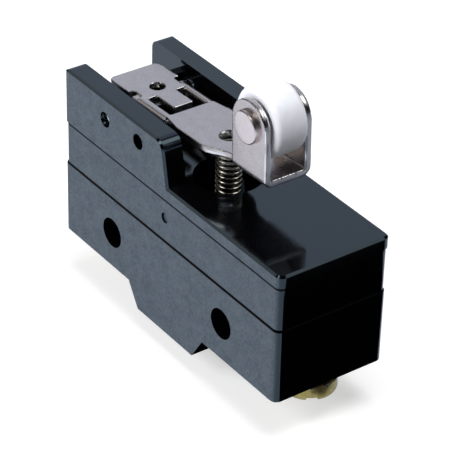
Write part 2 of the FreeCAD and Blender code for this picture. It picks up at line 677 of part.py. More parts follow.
def make_lever():
    """Lever folded from one sheet: tail, hinge cheeks bent down, window with tongue, neck, roller fork."""
    body = new_body("lever")
    fold_half = d.cheek_outer_half - d.cheek_bend
    fork_half = d.fork_outer_half - d.fork_bend
    cheek_inner = d.cheek_outer_half - d.sheet_thick
    cheeks = new_sketch(body, "HingeCheeks", "YZ_Plane", -d.cheek_round)
    draw_outline(cheeks, [
        (-d.cheek_outer_half, -d.cheek_round),
        (-cheek_inner, -d.cheek_round),
        (-cheek_inner, d.plate_low),
        (cheek_inner, d.plate_low),
        (cheek_inner, -d.cheek_round),
        (d.cheek_outer_half, -d.cheek_round),
        (d.cheek_outer_half, plate_high),
        (-d.cheek_outer_half, plate_high),
    ])
    channel = pad(body, cheeks, d.cheek_round + d.cheek_front)

    def is_cheek_bend(box):
        along = box.YLength < 1e-4 and box.ZLength < 1e-4
        return along and near(abs(box.YMin), d.cheek_outer_half) and near(box.ZMin, plate_high)

    round_edges(body, channel, is_cheek_bend, d.cheek_bend)

    trim = new_sketch(body, "CheekTrim", "XZ_Plane")
    clear_low = -beyond(d.cheek_round)
    clear_high = beyond(plate_high)
    clear_front = beyond(d.cheek_front)
    draw_outline(trim, [
        (d.cheek_round, -d.cheek_round),
        (d.cheek_round, clear_low),
        (clear_front, clear_low),
        (clear_front, d.plate_low - d.cheek_lip),
        (d.cheek_front, d.plate_low - d.cheek_lip),
    ])
    draw_outline(trim, [
        (clear_low, d.ring_high),
        (-d.ring_back, d.ring_high),
        (-d.ring_back, d.cheek_round),
        (d.notch_front, d.cheek_round),
        (d.notch_front, clear_high),
        (clear_low, clear_high),
    ])
    trimmed = pocket(body, trim, beyond(d.body_width), both_ways=True)

    def is_cheek_corner(box):
        across = box.XLength < 1e-4 and box.ZLength < 1e-4
        return across and near(box.ZMin, -d.cheek_round) and near(abs(box.XMin), d.cheek_round)

    round_edges(body, trimmed, is_cheek_corner, d.cheek_round * full_round_share)

    fork_low = plate_high + d.fork_bend / 2
    fork_inner = d.fork_outer_half - d.sheet_thick
    fork = new_sketch(body, "ForkBase", "YZ_Plane", fork_back)
    draw_outline(fork, [
        (-d.fork_outer_half, d.plate_low),
        (d.fork_outer_half, d.plate_low),
        (d.fork_outer_half, fork_low),
        (fork_inner, fork_low),
        (fork_inner, plate_high),
        (-fork_inner, plate_high),
        (-fork_inner, fork_low),
        (-d.fork_outer_half, fork_low),
    ])
    base = pad(body, fork, 2 * d.fork_arch)

    def is_fork_bend(box):
        along = box.YLength < 1e-4 and box.ZLength < 1e-4 and box.XMin > fork_back.value - 1e-4
        return along and near(abs(box.YMin), d.fork_outer_half) and near(box.ZMin, d.plate_low)

    round_edges(body, base, is_fork_bend, d.fork_bend)

    one_side = [
        (-d.tail_length, d.tail_half),
        (-d.notch_back, d.tail_half),
        (-d.notch_back, fold_half),
        (d.cheek_front, fold_half),
        (d.cheek_front, d.shoulder_half),
        (d.shoulder_front, d.plate_half),
        (d.taper_start, d.plate_half),
        (d.taper_end, d.neck_half),
        (fork_back, d.neck_half),
        (fork_back, fork_half),
        (fork_front, fork_half),
    ]
    plate = new_sketch(body, "LeverPlate", "XY_Plane", d.plate_low)
    draw_outline(plate, one_side + [(x, -y) for x, y in reversed(one_side)])
    sheet_pad = pad(body, plate, d.sheet_thick)

    def is_tail_corner(box):
        return is_upright(box) and near(box.XMin, -d.tail_length)

    rounded = round_edges(body, sheet_pad, is_tail_corner, d.tail_round)

    def is_notch_corner(box):
        inside = near(abs(box.YMin), fold_half)
        return is_upright(box) and inside and near(box.XMin, -d.notch_back)

    rounded = round_edges(body, rounded, is_notch_corner, d.notch_round)

    def is_taper_corner(box):
        return is_upright(box) and (near(box.XMin, d.taper_start) or near(box.XMin, d.taper_end))

    round_edges(body, rounded, is_taper_corner, d.taper_round)

    arch = new_sketch(body, "ForkArch", "XZ_Plane", d.fork_outer_half)
    draw_arch(arch, roller_reach, d.roller_rise, d.fork_arch, fork_low - d.arch_sink)
    ear = pad(body, arch, d.sheet_thick, backwards=True)
    mirror_across(body, ear, "XZ_Plane")

    window = new_sketch(body, "WindowRoundTongue", "XY_Plane", plate_high)
    tongue_front = d.window_back + d.tongue_length
    draw_outline(window, [
        (d.window_back, -d.window_half),
        (d.window_front, -d.window_half),
        (d.window_front, d.window_half),
        (d.window_back, d.window_half),
        (d.window_back, d.tongue_half),
        (tongue_front, d.tongue_half),
        (tongue_front, -d.tongue_half),
        (d.window_back, -d.tongue_half),
    ])
    opened = pocket(body, window, d.sheet_thick)

    def is_window_side(box):
        along = box.YLength < 1e-4 and near(box.ZMin, plate_high) and near(box.ZMax, plate_high)
        return along and near(abs(box.YMin), d.window_half)

    bevel_edges(body, opened, is_window_side, d.window_bevel)

    sight = new_sketch(body, "PlateHoles", "XY_Plane", plate_high)
    plunger_sight_x = (d.plunger_x - d.pivot_x) / tilt_cosine
    draw_circle(sight, d.pin_sight_x, 0, d.sight_hole)
    draw_circle(sight, plunger_sight_x, 0, d.plunger_sight)
    pierced = pocket(body, sight, d.sheet_thick)

    def is_plunger_sight(box):
        on_top = near(box.ZMin, plate_high) and near(box.ZMax, plate_high)
        return on_top and near((box.XMin + box.XMax) / 2, plunger_sight_x) and near(box.YMax, d.plunger_sight / 2)

    bevel_edges(body, pierced, is_plunger_sight, d.sight_bevel)

    bores = new_sketch(body, "LeverBores", "XZ_Plane")
    draw_circle(bores, 0, 0, d.pin_diameter + 2 * d.running_gap)
    draw_circle(bores, roller_reach, d.roller_rise, d.rivet_diameter)
    pocket(body, bores, d.body_width, both_ways=True)
    hang_on_pivot(body)
    return body


def make_roller():
    body = new_body("roller")
    disc = new_sketch(body, "RollerDisc", "XZ_Plane")
    draw_circle(disc, roller_reach, d.roller_rise, d.roller_diameter)
    tread = pad(body, disc, d.roller_width, both_ways=True)
    bevel_edges(body, tread, lambda box: box.YLength < 1e-4, d.roller_chamfer)
    bore = new_sketch(body, "RollerBore", "XZ_Plane")
    draw_circle(bore, roller_reach, d.roller_rise, d.rivet_diameter + 2 * d.running_gap)
    pocket(body, bore, beyond(d.roller_width), both_ways=True)
    hang_on_pivot(body)
    return body


def make_roller_rivet():
    """Shank through the fork, flat head on the near side and peened head on the far side."""
    body = new_body("roller_rivet")
    shank = new_sketch(body, "RivetShank", "XZ_Plane")
    draw_circle(shank, roller_reach, d.roller_rise, d.rivet_diameter)
    pad(body, shank, 2 * d.fork_outer_half, both_ways=True)
    head = new_sketch(body, "RivetHead", "XZ_Plane", d.fork_outer_half)
    draw_circle(head, roller_reach, d.roller_rise, d.rivet_head)
    flat = pad(body, head, d.rivet_head_thick)

    def is_head_rim(box):
        return box.YLength < 1e-4 and near(box.YMin, -d.fork_outer_half - d.rivet_head_thick)

    bevel_edges(body, flat, is_head_rim, d.rivet_head_bevel)
    tail = new_sketch(body, "RivetTail", "XZ_Plane", -d.fork_outer_half)
    draw_circle(tail, roller_reach, d.roller_rise, d.rivet_tail)
    peened = pad(body, tail, d.rivet_tail_thick, backwards=True)

    def is_tail_rim(box):
        return box.YLength < 1e-4 and near(box.YMin, d.fork_outer_half + d.rivet_tail_thick)

    bevel_edges(body, peened, is_tail_rim, d.rivet_tail_bevel)
    hang_on_pivot(body)
    return body


def make_turned(label, x, profile):
    """A piece turned about an upright axis, from its half section of radius and height."""
    body = new_body(label)
    section = new_sketch(body, label + "_section", "XZ_Plane")
    draw_outline(section, profile)
    revolve(body, section)
    bind(body, "Placement.Base.x", x)
    return body


def make_pin_plunger():
    return make_turned("pin_plunger", d.plunger_x, [
        (0, plunger_foot_low),
        (d.foot_diameter / 2, plunger_foot_low),
        (d.foot_diameter / 2, plunger_foot_low + d.foot_thick),
        (d.plunger_diameter / 2, plunger_foot_low + d.foot_thick),
        (d.plunger_diameter / 2, plunger_top),
        (0, plunger_top),
    ])


def make_spring_guide():
    stem_top = collar_top + d.stem_length
    stem_half = d.stem_diameter / 2
    return make_turned("spring_guide", d.plunger_x, [
        (0, plunger_top),
        (d.collar_diameter / 2, plunger_top),
        (d.collar_diameter / 2, collar_top),
        (stem_half, collar_top),
        (stem_half, stem_top - d.stem_nose),
        (stem_half - d.stem_nose, stem_top),
        (0, stem_top),
    ])


# Sides of the spring wire's section: few, because its coils repeat so often
wire_sides = 4


def make_return_spring():
    """Wire coil from the guide's collar up to the lever plate's underside."""
    wire_half = d.wire_diameter / 2
    low = collar_top + wire_half + d.coil_end_gap
    high = plate_underside(d.plunger_x - d.coil_diameter / 2) - wire_half - d.coil_end_gap
    coil_half = (d.coil_diameter - d.wire_diameter) / 2
    path = doc.addObject("Part::Helix", "SpringPath")
    bind(path, "Radius", coil_half)
    bind(path, "Height", high - low)
    bind(path, "Pitch", (high - low) / d.coil_turns)
    section = doc.addObject("Part::RegularPolygon", "WireSection")
    section.Polygon = wire_sides
    section.Placement = Placement(Vector(0, 0, 0), Rotation(Vector(1, 0, 0), 90))
    bind(section, "Circumradius", wire_half)
    bind(section, "Placement.Base.x", coil_half)
    spring = doc.addObject("Part::Sweep", "return_spring")
    spring.Label = "return_spring"
    spring.Sections = [section]
    spring.Spine = (path, ["Edge1"])
    spring.Solid = True
    spring.Frenet = True
    bind(spring, "Placement.Base.x", d.plunger_x)
    bind(spring, "Placement.Base.z", low)
    return spring


def add_nut(body, name, x, plate_bottom):
    """Tapped boss on a terminal plate, with the screw's hole through both."""
    boss = new_sketch(body, name + "Nut", "XY_Plane", plate_bottom + d.strip_thick)
    draw_circle(boss, x, 0, d.nut_diameter)
    pad(body, boss, d.nut_height)
    hole = new_sketch(body, name + "Thread", "XY_Plane", plate_bottom + d.strip_thick + d.nut_height)
    draw_circle(hole, x, 0, d.screw_diameter + 2 * d.running_gap)
    pocket(body, hole, d.strip_thick + d.nut_height)


def make_com_terminal():
    """Common terminal: plate, riser, shelf that anchors the snap spring, and post for its bowed leg."""
    body = new_body("com_terminal")
    outer = -(end_screw_x + d.plate_reach)
    strip = new_sketch(body, "ComStrip", "XZ_Plane")
    draw_outline(strip, [
        (outer, d.case_bottom),
        (-riser_x, d.case_bottom),
        (-riser_x, shelf_top - d.strip_thick),
        (shelf_front, shelf_top - d.strip_thick),
        (shelf_front, shelf_top),
        (-riser_far, shelf_top),
        (-riser_far, d.case_bottom + d.strip_thick),
        (outer, d.case_bottom + d.strip_thick),
    ])
    pad(body, strip, d.strip_width, both_ways=True)
    post_front = d.bow_back - d.post_gap
    arm_low = shelf_top - 2 * d.strip_thick + d.anchor_gap
    post = new_sketch(body, "ComPost", "XZ_Plane")
    draw_outline(post, [
        (shelf_front - d.strip_thick, arm_low),
        (post_front, arm_low),
        (post_front, d.post_top),
        (post_front - d.strip_thick, d.post_top),
        (post_front - d.strip_thick, arm_low + d.strip_thick),
        (shelf_front - d.strip_thick, arm_low + d.strip_thick),
    ])
    pad(body, post, 2 * d.post_half, both_ways=True)
    rivet_hole = new_sketch(body, "ComRivetHole", "XY_Plane", shelf_top)
    draw_circle(rivet_hole, anchor_x, 0, d.anchor_rivet)
    pocket(body, rivet_hole, d.strip_thick)
    add_nut(body, "Com", -end_screw_x, d.case_bottom)
    return body


def make_nc_terminal():
    """Normally closed terminal: its arm holds the upper contact over the snap spring's tip."""
    body = new_body("nc_terminal")
    outer = end_screw_x + d.plate_reach
    arm_high = d.nc_arm_low + d.strip_thick
    arm_end = d.contact_x - d.arm_reach
    strip = new_sketch(body, "NcStrip", "XZ_Plane")
    draw_outline(strip, [
        (riser_x, d.case_bottom),
        (outer, d.case_bottom),
        (outer, d.case_bottom + d.strip_thick),
        (riser_far, d.case_bottom + d.strip_thick),
        (riser_far, arm_high),
        (arm_end, arm_high),
        (arm_end, d.nc_arm_low),
        (riser_x, d.nc_arm_low),
    ])
    pad(body, strip, d.strip_width, both_ways=True)
    rivet_hole = new_sketch(body, "NcRivetHole", "XY_Plane", arm_high)
    draw_circle(rivet_hole, d.contact_x, 0, d.contact_shank)
    pocket(body, rivet_hole, d.strip_thick)
    add_nut(body, "Nc", end_screw_x, d.case_bottom)
    return body


def make_no_terminal():
    """Normally open terminal: from the foot up and along the chamber floor, under the contact."""
    body = new_body("no_terminal")
    arm_high = d.chamber_floor + d.strip_gap + d.strip_thick
    arm_end = d.contact_x + d.arm_reach
    strip = new_sketch(body, "NoStrip", "XZ_Plane")
    draw_outline(strip, [
        (-no_riser_far, d.foot_bottom),
        (no_riser_far, d.foot_bottom),
        (no_riser_far, arm_high - d.strip_thick),
        (arm_end, arm_high - d.strip_thick),
        (arm_end, arm_high),
        (d.no_riser_x, arm_high),
        (d.no_riser_x, d.foot_bottom + d.strip_thick),
        (-no_riser_far, d.foot_bottom + d.strip_thick),
    ])
    pad(body, strip, d.strip_width, both_ways=True)
    rivet_hole = new_sketch(body, "NoRivetHole", "XY_Plane", arm_high)
    draw_circle(rivet_hole, d.contact_x, 0, d.contact_shank)
    pocket(body, rivet_hole, d.strip_thick)
    add_nut(body, "No", 0, d.foot_bottom)
    return body


def contact_profile(face, seat, far_end):
    """Half section of a contact rivet: head from its face to the seat, then the shank."""
    head = d.contact_diameter / 2
    shank = d.contact_shank / 2
    return [(0, face), (head, face), (head, seat), (shank, seat), (shank, far_end), (0, far_end)]


def make_contacts():
    """Upper and lower fixed contacts and the moving contact between them."""
    head = d.contact_diameter / 2
    shank = d.contact_shank / 2
    arm_high = d.chamber_floor + d.strip_gap + d.strip_thick
    upper = contact_profile(moving_high + d.contact_rest_gap, d.nc_arm_low, d.nc_arm_low + d.strip_thick)
    lower = contact_profile(moving_low - d.contact_gap, arm_high, arm_high - d.strip_thick)
    moving = [
        (0, moving_low),
        (head, moving_low),
        (head, d.blade_low),
        (shank, d.blade_low),
        (shank, blade_high),
        (head, blade_high),
        (head, moving_high),
        (0, moving_high),
    ]
    profiles = [("nc_contact", upper), ("no_contact", lower), ("moving_contact", moving)]
    return [make_turned(label, d.contact_x, profile) for label, profile in profiles]


def make_snap_spring():
    """Snap spring stamped from one sheet: two outer bands in tension and a bowed leg between them."""
    body = new_body("snap_spring")
    shoulder_back = (blade_back + d.slot_back) / 2
    shoulder_front = (d.blade_tip + d.slot_front) / 2
    one_side = [
        (blade_back, d.blade_root_half),
        (shoulder_back, d.blade_root_half),
        (d.slot_back, d.blade_half),
        (d.slot_front, d.blade_half),
        (shoulder_front, d.blade_tip_half),
        (d.blade_tip, d.blade_tip_half),
    ]
    band = new_sketch(body, "BladeOutline", "XY_Plane", d.blade_low)
    draw_outline(band, one_side + [(x, -y) for x, y in reversed(one_side)])
    pad(body, band, d.blade_thick)
    slot = new_sketch(body, "BladeWindow", "XY_Plane", blade_high)
    draw_box(slot, d.slot_back, -d.slot_half, d.slot_front, d.slot_half)
    pocket(body, slot, d.blade_thick)

    chord_half = (d.slot_front - d.bow_back) / 2
    centre_x = (d.slot_front + d.bow_back) / 2
    radius = (chord_half * chord_half + d.bow_sag * d.bow_sag) / (2 * d.bow_sag)
    centre_z = d.blade_low - d.bow_sag + radius
    bow = new_sketch(body, "BowedLeg", "XZ_Plane")
    draw_bow(bow, centre_x, centre_z, radius - d.blade_thick, d.blade_thick, d.bow_back, d.slot_front + d.blade_thick)
    pad(body, bow, 2 * d.bow_half, both_ways=True)

    holes = new_sketch(body, "BladeHoles", "XY_Plane", blade_high)
    draw_circle(holes, anchor_x, 0, d.anchor_rivet + 2 * d.anchor_rivet_gap)
    draw_circle(holes, d.contact_x, 0, d.contact_shank)
    pocket(body, holes, d.blade_thick)
    return body


def make_anchor_rivet():
    """Rivet that keeps the snap spring on the common terminal's shelf and lets it rock."""
    head = d.anchor_rivet_head / 2
    shank = d.anchor_rivet / 2
    head_low = blade_high + d.anchor_rivet_gap
    shelf_low = shelf_top - d.strip_thick
    return make_turned("anchor_rivet", anchor_x, [
        (0, shelf_low - d.blade_thick),
        (head, shelf_low - d.blade_thick),
        (head, shelf_low),
        (shank, shelf_low),
        (shank, head_low),
        (head, head_low),
        (head, head_low + 2 * d.blade_thick),
        (0, head_low + 2 * d.blade_thick),
    ])


def make_terminal_screw(label, x, plate_bottom):
    """Slotted terminal screw, head down, drawn from the terminal plate's underside."""
    body = new_body(label)
    head = d.screw_head / 2
    shank = d.screw_diameter / 2
    seat = -d.washer_thick
    low = seat - d.screw_head_thick
    section = new_sketch(body, label + "_section", "XZ_Plane")
    draw_outline(section, [
        (0, low),
        (head - d.screw_head_round, low),
        (head, low + d.screw_head_round),
        (head, seat),
        (shank, seat),
        (shank, d.screw_tip - d.screw_point),
        (shank - d.screw_point, d.screw_tip),
        (0, d.screw_tip),
    ])
    revolve(body, section)
    slot = new_sketch(body, label + "_slot", "XY_Plane", low)
    draw_box(slot, -d.screw_head, -d.screw_slot / 2, d.screw_head, d.screw_slot / 2)
    pocket(body, slot, d.screw_slot_depth, backwards=True)
    body.Placement = Placement(Vector(0, 0, 0), Rotation(Vector(0, 0, -1), -d.screw_turn.value))
    bind(body, "Placement.Rotation.Angle", -d.screw_turn)
    bind(body, "Placement.Base.x", x)
    bind(body, "Placement.Base.z", plate_bottom)
    return body


def make_toothed_washer(label, x, plate_bottom):
    """Lock washer: thin ring against the head, teeth that reach up to the terminal plate."""
    body = new_body(label)
    low = -d.washer_thick
    ring = new_sketch(body, label + "_ring", "XY_Plane", low)
    draw_circle(ring, 0, 0, d.washer_ring)
    pad(body, ring, d.washer_sheet)
    tooth = new_sketch(body, label + "_tooth", "XY_Plane", low)
    inner = d.washer_ring / 2 - d.washer_sheet
    draw_box(tooth, inner, -d.tooth_width / 2, d.washer_outer / 2, d.tooth_width / 2)
    first_tooth = pad(body, tooth, d.washer_thick)
    teeth = body.newObject("PartDesign::PolarPattern", label + "_teeth")
    teeth.Originals = [first_tooth]
    teeth.Axis = (ring, ["N_Axis"])
    teeth.Angle = 360
    bind(teeth, "Occurrences", d.washer_teeth)
    body.Tip = teeth
    bore = new_sketch(body, label + "_bore", "XY_Plane", 0)
    draw_circle(bore, 0, 0, d.washer_bore)
    pocket(body, bore, d.washer_thick)
    bind(body, "Placement.Base.x", x)
    bind(body, "Placement.Base.z", plate_bottom)
    return body


terminals = [
    ("com", -end_screw_x, d.case_bottom),
    ("no", as_size(0), d.foot_bottom),
    ("nc", end_screw_x, d.case_bottom),
]

pieces = [
    make_case(),
    make_middle_cover(),
    make_lever_housing(),
    make_hinge_pin(),
    make_lever(),
    make_roller(),
    make_roller_rivet(),
    make_pin_plunger(),
    make_spring_guide(),
    make_return_spring(),
    make_com_terminal(),
    make_nc_terminal(),
    make_no_terminal(),
    make_snap_spring(),
    make_anchor_rivet(),
]
pieces += make_contacts()
for name, screw_x, seat_z in terminals:
    pieces.append(make_terminal_screw(name + "_screw", screw_x, seat_z))
    pieces.append(make_toothed_washer(name + "_washer", screw_x, seat_z))

doc.recompute()
for item in doc.Objects:
    if "Invalid" in item.State or "Error" in item.State:
        raise RuntimeError(f"{item.Name} failed to build: {item.State}")
for piece in pieces:
    if piece.Shape.isNull() or not piece.Shape.isValid():
        raise RuntimeError(f"{piece.Label} has no valid shape")

os.makedirs("parts", exist_ok=True)
for piece in pieces:
    piece.Shape.exportStep(os.path.join("parts", piece.Label + ".step"))
    box = piece.Shape.BoundBox
    print(f"{piece.Label:16s} solids {len(piece.Shape.Solids)}  volume {piece.Shape.Volume:9.2f}  "
          f"x {box.XMin:7.2f} {box.XMax:7.2f}  y {box.YMin:6.2f} {box.YMax:6.2f}  z {box.ZMin:6.2f} {box.ZMax:6.2f}")
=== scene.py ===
# Short hinged roller lever switch: finishes, coil spring, terminal screws and their washers
import math

import bmesh
import bpy
from mathutils import Matrix, Vector


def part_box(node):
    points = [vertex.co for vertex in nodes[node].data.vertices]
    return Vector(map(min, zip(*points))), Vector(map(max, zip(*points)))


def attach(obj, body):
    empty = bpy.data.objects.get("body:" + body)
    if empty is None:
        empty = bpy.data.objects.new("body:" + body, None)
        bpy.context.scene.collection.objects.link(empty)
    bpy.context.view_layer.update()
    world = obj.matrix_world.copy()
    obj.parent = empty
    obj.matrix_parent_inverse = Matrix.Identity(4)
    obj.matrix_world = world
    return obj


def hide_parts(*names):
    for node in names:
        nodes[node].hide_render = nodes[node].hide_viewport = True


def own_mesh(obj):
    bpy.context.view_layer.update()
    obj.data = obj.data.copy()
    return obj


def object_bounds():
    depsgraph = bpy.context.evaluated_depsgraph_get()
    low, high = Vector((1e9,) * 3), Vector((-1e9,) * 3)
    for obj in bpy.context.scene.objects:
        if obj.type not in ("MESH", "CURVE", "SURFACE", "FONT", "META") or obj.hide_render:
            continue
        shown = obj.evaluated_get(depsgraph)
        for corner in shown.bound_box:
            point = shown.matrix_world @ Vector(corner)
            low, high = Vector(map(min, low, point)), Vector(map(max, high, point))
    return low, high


mm = 0.001

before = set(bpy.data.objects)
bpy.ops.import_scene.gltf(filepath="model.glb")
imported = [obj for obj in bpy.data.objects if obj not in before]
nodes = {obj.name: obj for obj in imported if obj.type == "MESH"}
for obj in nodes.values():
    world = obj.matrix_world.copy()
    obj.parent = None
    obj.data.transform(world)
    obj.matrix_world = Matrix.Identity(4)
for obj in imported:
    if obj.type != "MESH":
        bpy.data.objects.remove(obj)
cadLow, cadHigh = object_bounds()
print("frame loaded:", len(nodes), "CAD nodes")


def colour(code):
    # '#rrggbb' as screens show it -> linear colour for the shader
    parts = [int(code[i:i + 2], 16) / 255 for i in (1, 3, 5)]
    linear = [p / 12.92 if p <= 0.04045 else ((p + 0.055) / 1.055) ** 2.4 for p in parts]
    return (*linear, 1.0)


def addNode(tree, kind, settings=None, inputs=None):
    # one node: settings are its options, inputs are values or the sockets that feed it
    node = tree.nodes.new(kind)
    for option, value in (settings or {}).items():
        setattr(node, option, value)
    for socket, value in (inputs or {}).items():
        if isinstance(value, bpy.types.NodeSocket):
            tree.links.new(value, node.inputs[socket])
        else:
            node.inputs[socket].default_value = value
    return node


def newMaterial(name):
    material = bpy.data.materials.new(name)
    material.use_nodes = True
    material.node_tree.nodes.clear()
    return material, material.node_tree


# camera, where the photographer stood: angles in degrees, lengths in mm from the seam over the case
cameraSet = {"azimuth": 53.53, "elevation": 33.27, "roll": 1.66, "distance": 308.0, "aside": 0.709,
             "above": -0.463, "aimHeight": 5.62, "lens": 185.8, "sensor": 36, "nearest": 10}


def makeCamera(cfg):
    a, e, roll = (math.radians(cfg[k]) for k in ("azimuth", "elevation", "roll"))
    back = Vector((math.sin(a) * math.cos(e), -math.cos(a) * math.cos(e), math.sin(e)))
    right = Vector((math.cos(a), math.sin(a), 0))
    up = back.cross(right)
    rolledRight = right * math.cos(roll) + up * math.sin(roll)
    rolledUp = up * math.cos(roll) - right * math.sin(roll)
    place = rolledRight * cfg["aside"] + rolledUp * cfg["above"] + back * cfg["distance"]
    place += Vector((0, 0, cfg["aimHeight"]))
    camera = bpy.data.objects.new("camera", bpy.data.cameras.new("camera"))
    turned = Matrix((rolledRight, rolledUp, back)).transposed().to_4x4()
    camera.matrix_world = Matrix.Translation(place * mm) @ turned
    camera.data.lens = cfg["lens"]
    camera.data.sensor_width = cfg["sensor"]
    camera.data.clip_start = cfg["nearest"] * mm
    bpy.context.collection.objects.link(camera)
    bpy.context.scene.camera = camera


# studio: "fill" lights plain colours from all round. Gloss sees a dark tent with a pale sheet behind and to
# the left, a strip light in front, and weaker ones at the left and over the far end that pick out the rims.
# Each is a cone about its way, full within "to" degrees and gone beyond "from" degrees
studio = {
    "fill": 0.14, "dark": 0.008, "sheetColour": (0.60, 0.67, 0.80),
    "sheet": {"way": (-0.672, 0.497, 0.549), "from": 44, "to": 30, "level": 1.0},
    "strips": ({"way": (0.0, -0.75, 0.65), "from": 15, "to": 8, "level": 4.2},
               {"way": (-0.672, -0.46, 0.56), "from": 12, "to": 6, "level": 0.9},
               {"way": (0.33, 0.497, 0.77), "from": 19, "to": 10, "level": 2.6}),
}
# floor: its glow and paper shade for the camera, its bounce for plain surfaces, its sheen and glow for gloss,
# its half width and its gap under the switch in mm
floorSet = {"white": 0.50, "shade": 0.62, "bounce": 0.30, "sheen": 0.44, "gloss": (0.27, 0.33, 0.46),
            "reach": 3000, "gap": 0.02}
# black cards of painted shade, seen only in gloss: left, near, right and far edges, and lift off the floor, in
# mm
shadeCardSet = {"edges": ((29, -6, 57, 36), (-20, -7, 12, 5)), "lift": 0.01}


def glossOnly(tree):
    # 1 for rays that a mirror or glass sends out, 0 for the rest
    light = addNode(tree, "ShaderNodeLightPath")
    return addNode(tree, "ShaderNodeMath", {"operation": "MAXIMUM"},
                   {0: light.outputs["Is Glossy Ray"], 1: light.outputs["Is Transmission Ray"]}).outputs[0]


def grey(level):
    return (level, level, level, 1.0)


def makeWorld(cfg):
    world = bpy.data.worlds.new("tent")
    world.use_nodes = True
    tree = world.node_tree
    tree.nodes.clear()
    way = addNode(tree, "ShaderNodeTexCoord").outputs["Generated"]
    shares = []
    for cone in (cfg["sheet"], *cfg["strips"]):
        toward = addNode(tree, "ShaderNodeVectorMath", {"operation": "DOT_PRODUCT"},
                         {0: way, 1: Vector(cone["way"]).normalized()})
        shares.append(addNode(tree, "ShaderNodeMapRange", {"interpolation_type": "SMOOTHSTEP"},
                              {"Value": toward.outputs["Value"], "To Max": cone["level"],
                               "From Min": math.cos(math.radians(cone["from"])),
                               "From Max": math.cos(math.radians(cone["to"]))}).outputs["Result"])
    tent = addNode(tree, "ShaderNodeMix", {"data_type": "RGBA"},
                   {"Factor": shares[0], "A": grey(cfg["dark"]), "B": (*cfg["sheetColour"], 1)})
    strips = shares[1]
    for share in shares[2:]:
        strips = addNode(tree, "ShaderNodeMath", {"operation": "ADD"}, {0: strips, 1: share}).outputs[0]
    shine = addNode(tree, "ShaderNodeMix", {"data_type": "RGBA", "blend_type": "ADD"},
                    {"Factor": 1.0, "A": tent.outputs["Result"], "B": strips})
    light = addNode(tree, "ShaderNodeLightPath")
    plain = addNode(tree, "ShaderNodeMix", {"data_type": "RGBA"},
                    {"Factor": light.outputs["Is Camera Ray"], "A": grey(cfg["fill"]), "B": grey(1.0)})
    level = addNode(tree, "ShaderNodeMix", {"data_type": "RGBA"},
                    {"Factor": glossOnly(tree), "A": plain.outputs["Result"], "B": shine.outputs["Result"]})
    sky = addNode(tree, "ShaderNodeBackground", inputs={"Color": level.outputs["Result"], "Strength": 1.0})
    addNode(tree, "ShaderNodeOutputWorld", inputs={"Surface": sky.outputs[0]})
    bpy.context.scene.world = world


def layFlat(name, low, high, height, material):
    # a level sheet between two corners, part of the studio
    mesh = bpy.data.meshes.new(name)
    mesh.from_pydata([(low[0], low[1], height), (high[0], low[1], height), (high[0], high[1], height),
                      (low[0], high[1], height)], [], [(0, 1, 2, 3)])
    mesh.materials.append(material)
    sheet = bpy.data.objects.new(name, mesh)
    bpy.context.collection.objects.link(sheet)
    return sheet


def makeFloor(cfg, height):
    # white paper: seen straight it is white with a soft shadow, in gloss it is a shaded bluish grey
    material, tree = newMaterial("paperFloor")
    light = addNode(tree, "ShaderNodeLightPath")
    paper = addNode(tree, "ShaderNodeBsdfDiffuse", inputs={"Color": grey(cfg["shade"])})
    dim = addNode(tree, "ShaderNodeBsdfDiffuse", inputs={"Color": grey(cfg["bounce"])})
    glow = addNode(tree, "ShaderNodeEmission", inputs={"Color": grey(1.0), "Strength": cfg["white"]})
    seen = addNode(tree, "ShaderNodeAddShader", inputs={0: paper.outputs[0], 1: glow.outputs[0]})
    shine = addNode(tree, "ShaderNodeEmission", inputs={"Color": (*cfg["gloss"], 1), "Strength": 1.0})
    pale = addNode(tree, "ShaderNodeBsdfDiffuse", inputs={"Color": grey(cfg["sheen"])})
    mirrored = addNode(tree, "ShaderNodeAddShader", inputs={0: pale.outputs[0], 1: shine.outputs[0]})
    unseen = addNode(tree, "ShaderNodeMixShader",
                     inputs={0: glossOnly(tree), 1: dim.outputs[0], 2: mirrored.outputs[0]})
    both = addNode(tree, "ShaderNodeMixShader",
                   inputs={0: light.outputs["Is Camera Ray"], 1: unseen.outputs[0], 2: seen.outputs[0]})
    addNode(tree, "ShaderNodeOutputMaterial", inputs={"Surface": both.outputs[0]})
    reach = cfg["reach"] * mm
    layFlat("floor", (-reach, -reach), (reach, reach), height, material)


def makeShadeCards(cfg, height):
    # painted shade: black cards on the floor beyond the roller end and under the body stand in for the floor's
    # shade there, and only gloss sees them
    material, tree = newMaterial("blackCard")
    black = addNode(tree, "ShaderNodeEmission", inputs={"Color": grey(0.0), "Strength": 0.0})
    addNode(tree, "ShaderNodeOutputMaterial", inputs={"Surface": black.outputs[0]})
    for left, near, right, far in cfg["edges"]:
        card = layFlat("blackCard", (left * mm, near * mm), (right * mm, far * mm),
                       height + cfg["lift"] * mm, material)
        card.visible_camera = False
        card.visible_diffuse = False
        card.visible_shadow = False


# softboxes: way they shine from, distance and side in mm, power in watts
lampSet = {
    "frontLeft": {"way": (-0.32, -0.84, 0.50), "distance": 420, "side": 260, "power": 1.84},
    "overhead": {"way": (0.16, 0.09, 1.0), "distance": 420, "side": 250, "power": 1.52},
}


def makeLamps(lamps):
    for name, cfg in lamps.items():
        data = bpy.data.lights.new(name, "AREA")
        data.shape = "SQUARE"
        data.size = cfg["side"] * mm
        data.energy = cfg["power"]
        lamp = bpy.data.objects.new(name, data)
        way = Vector(cfg["way"]).normalized()
        lamp.location = way * cfg["distance"] * mm
        lamp.rotation_mode = "QUATERNION"
        lamp.rotation_quaternion = way.to_track_quat("Z", "Y")
        lamp.visible_glossy = False
        bpy.context.collection.objects.link(lamp)


noiseSpan = {"From Min": 0.35, "From Max": 0.65}   # where a noise texture's values mostly lie
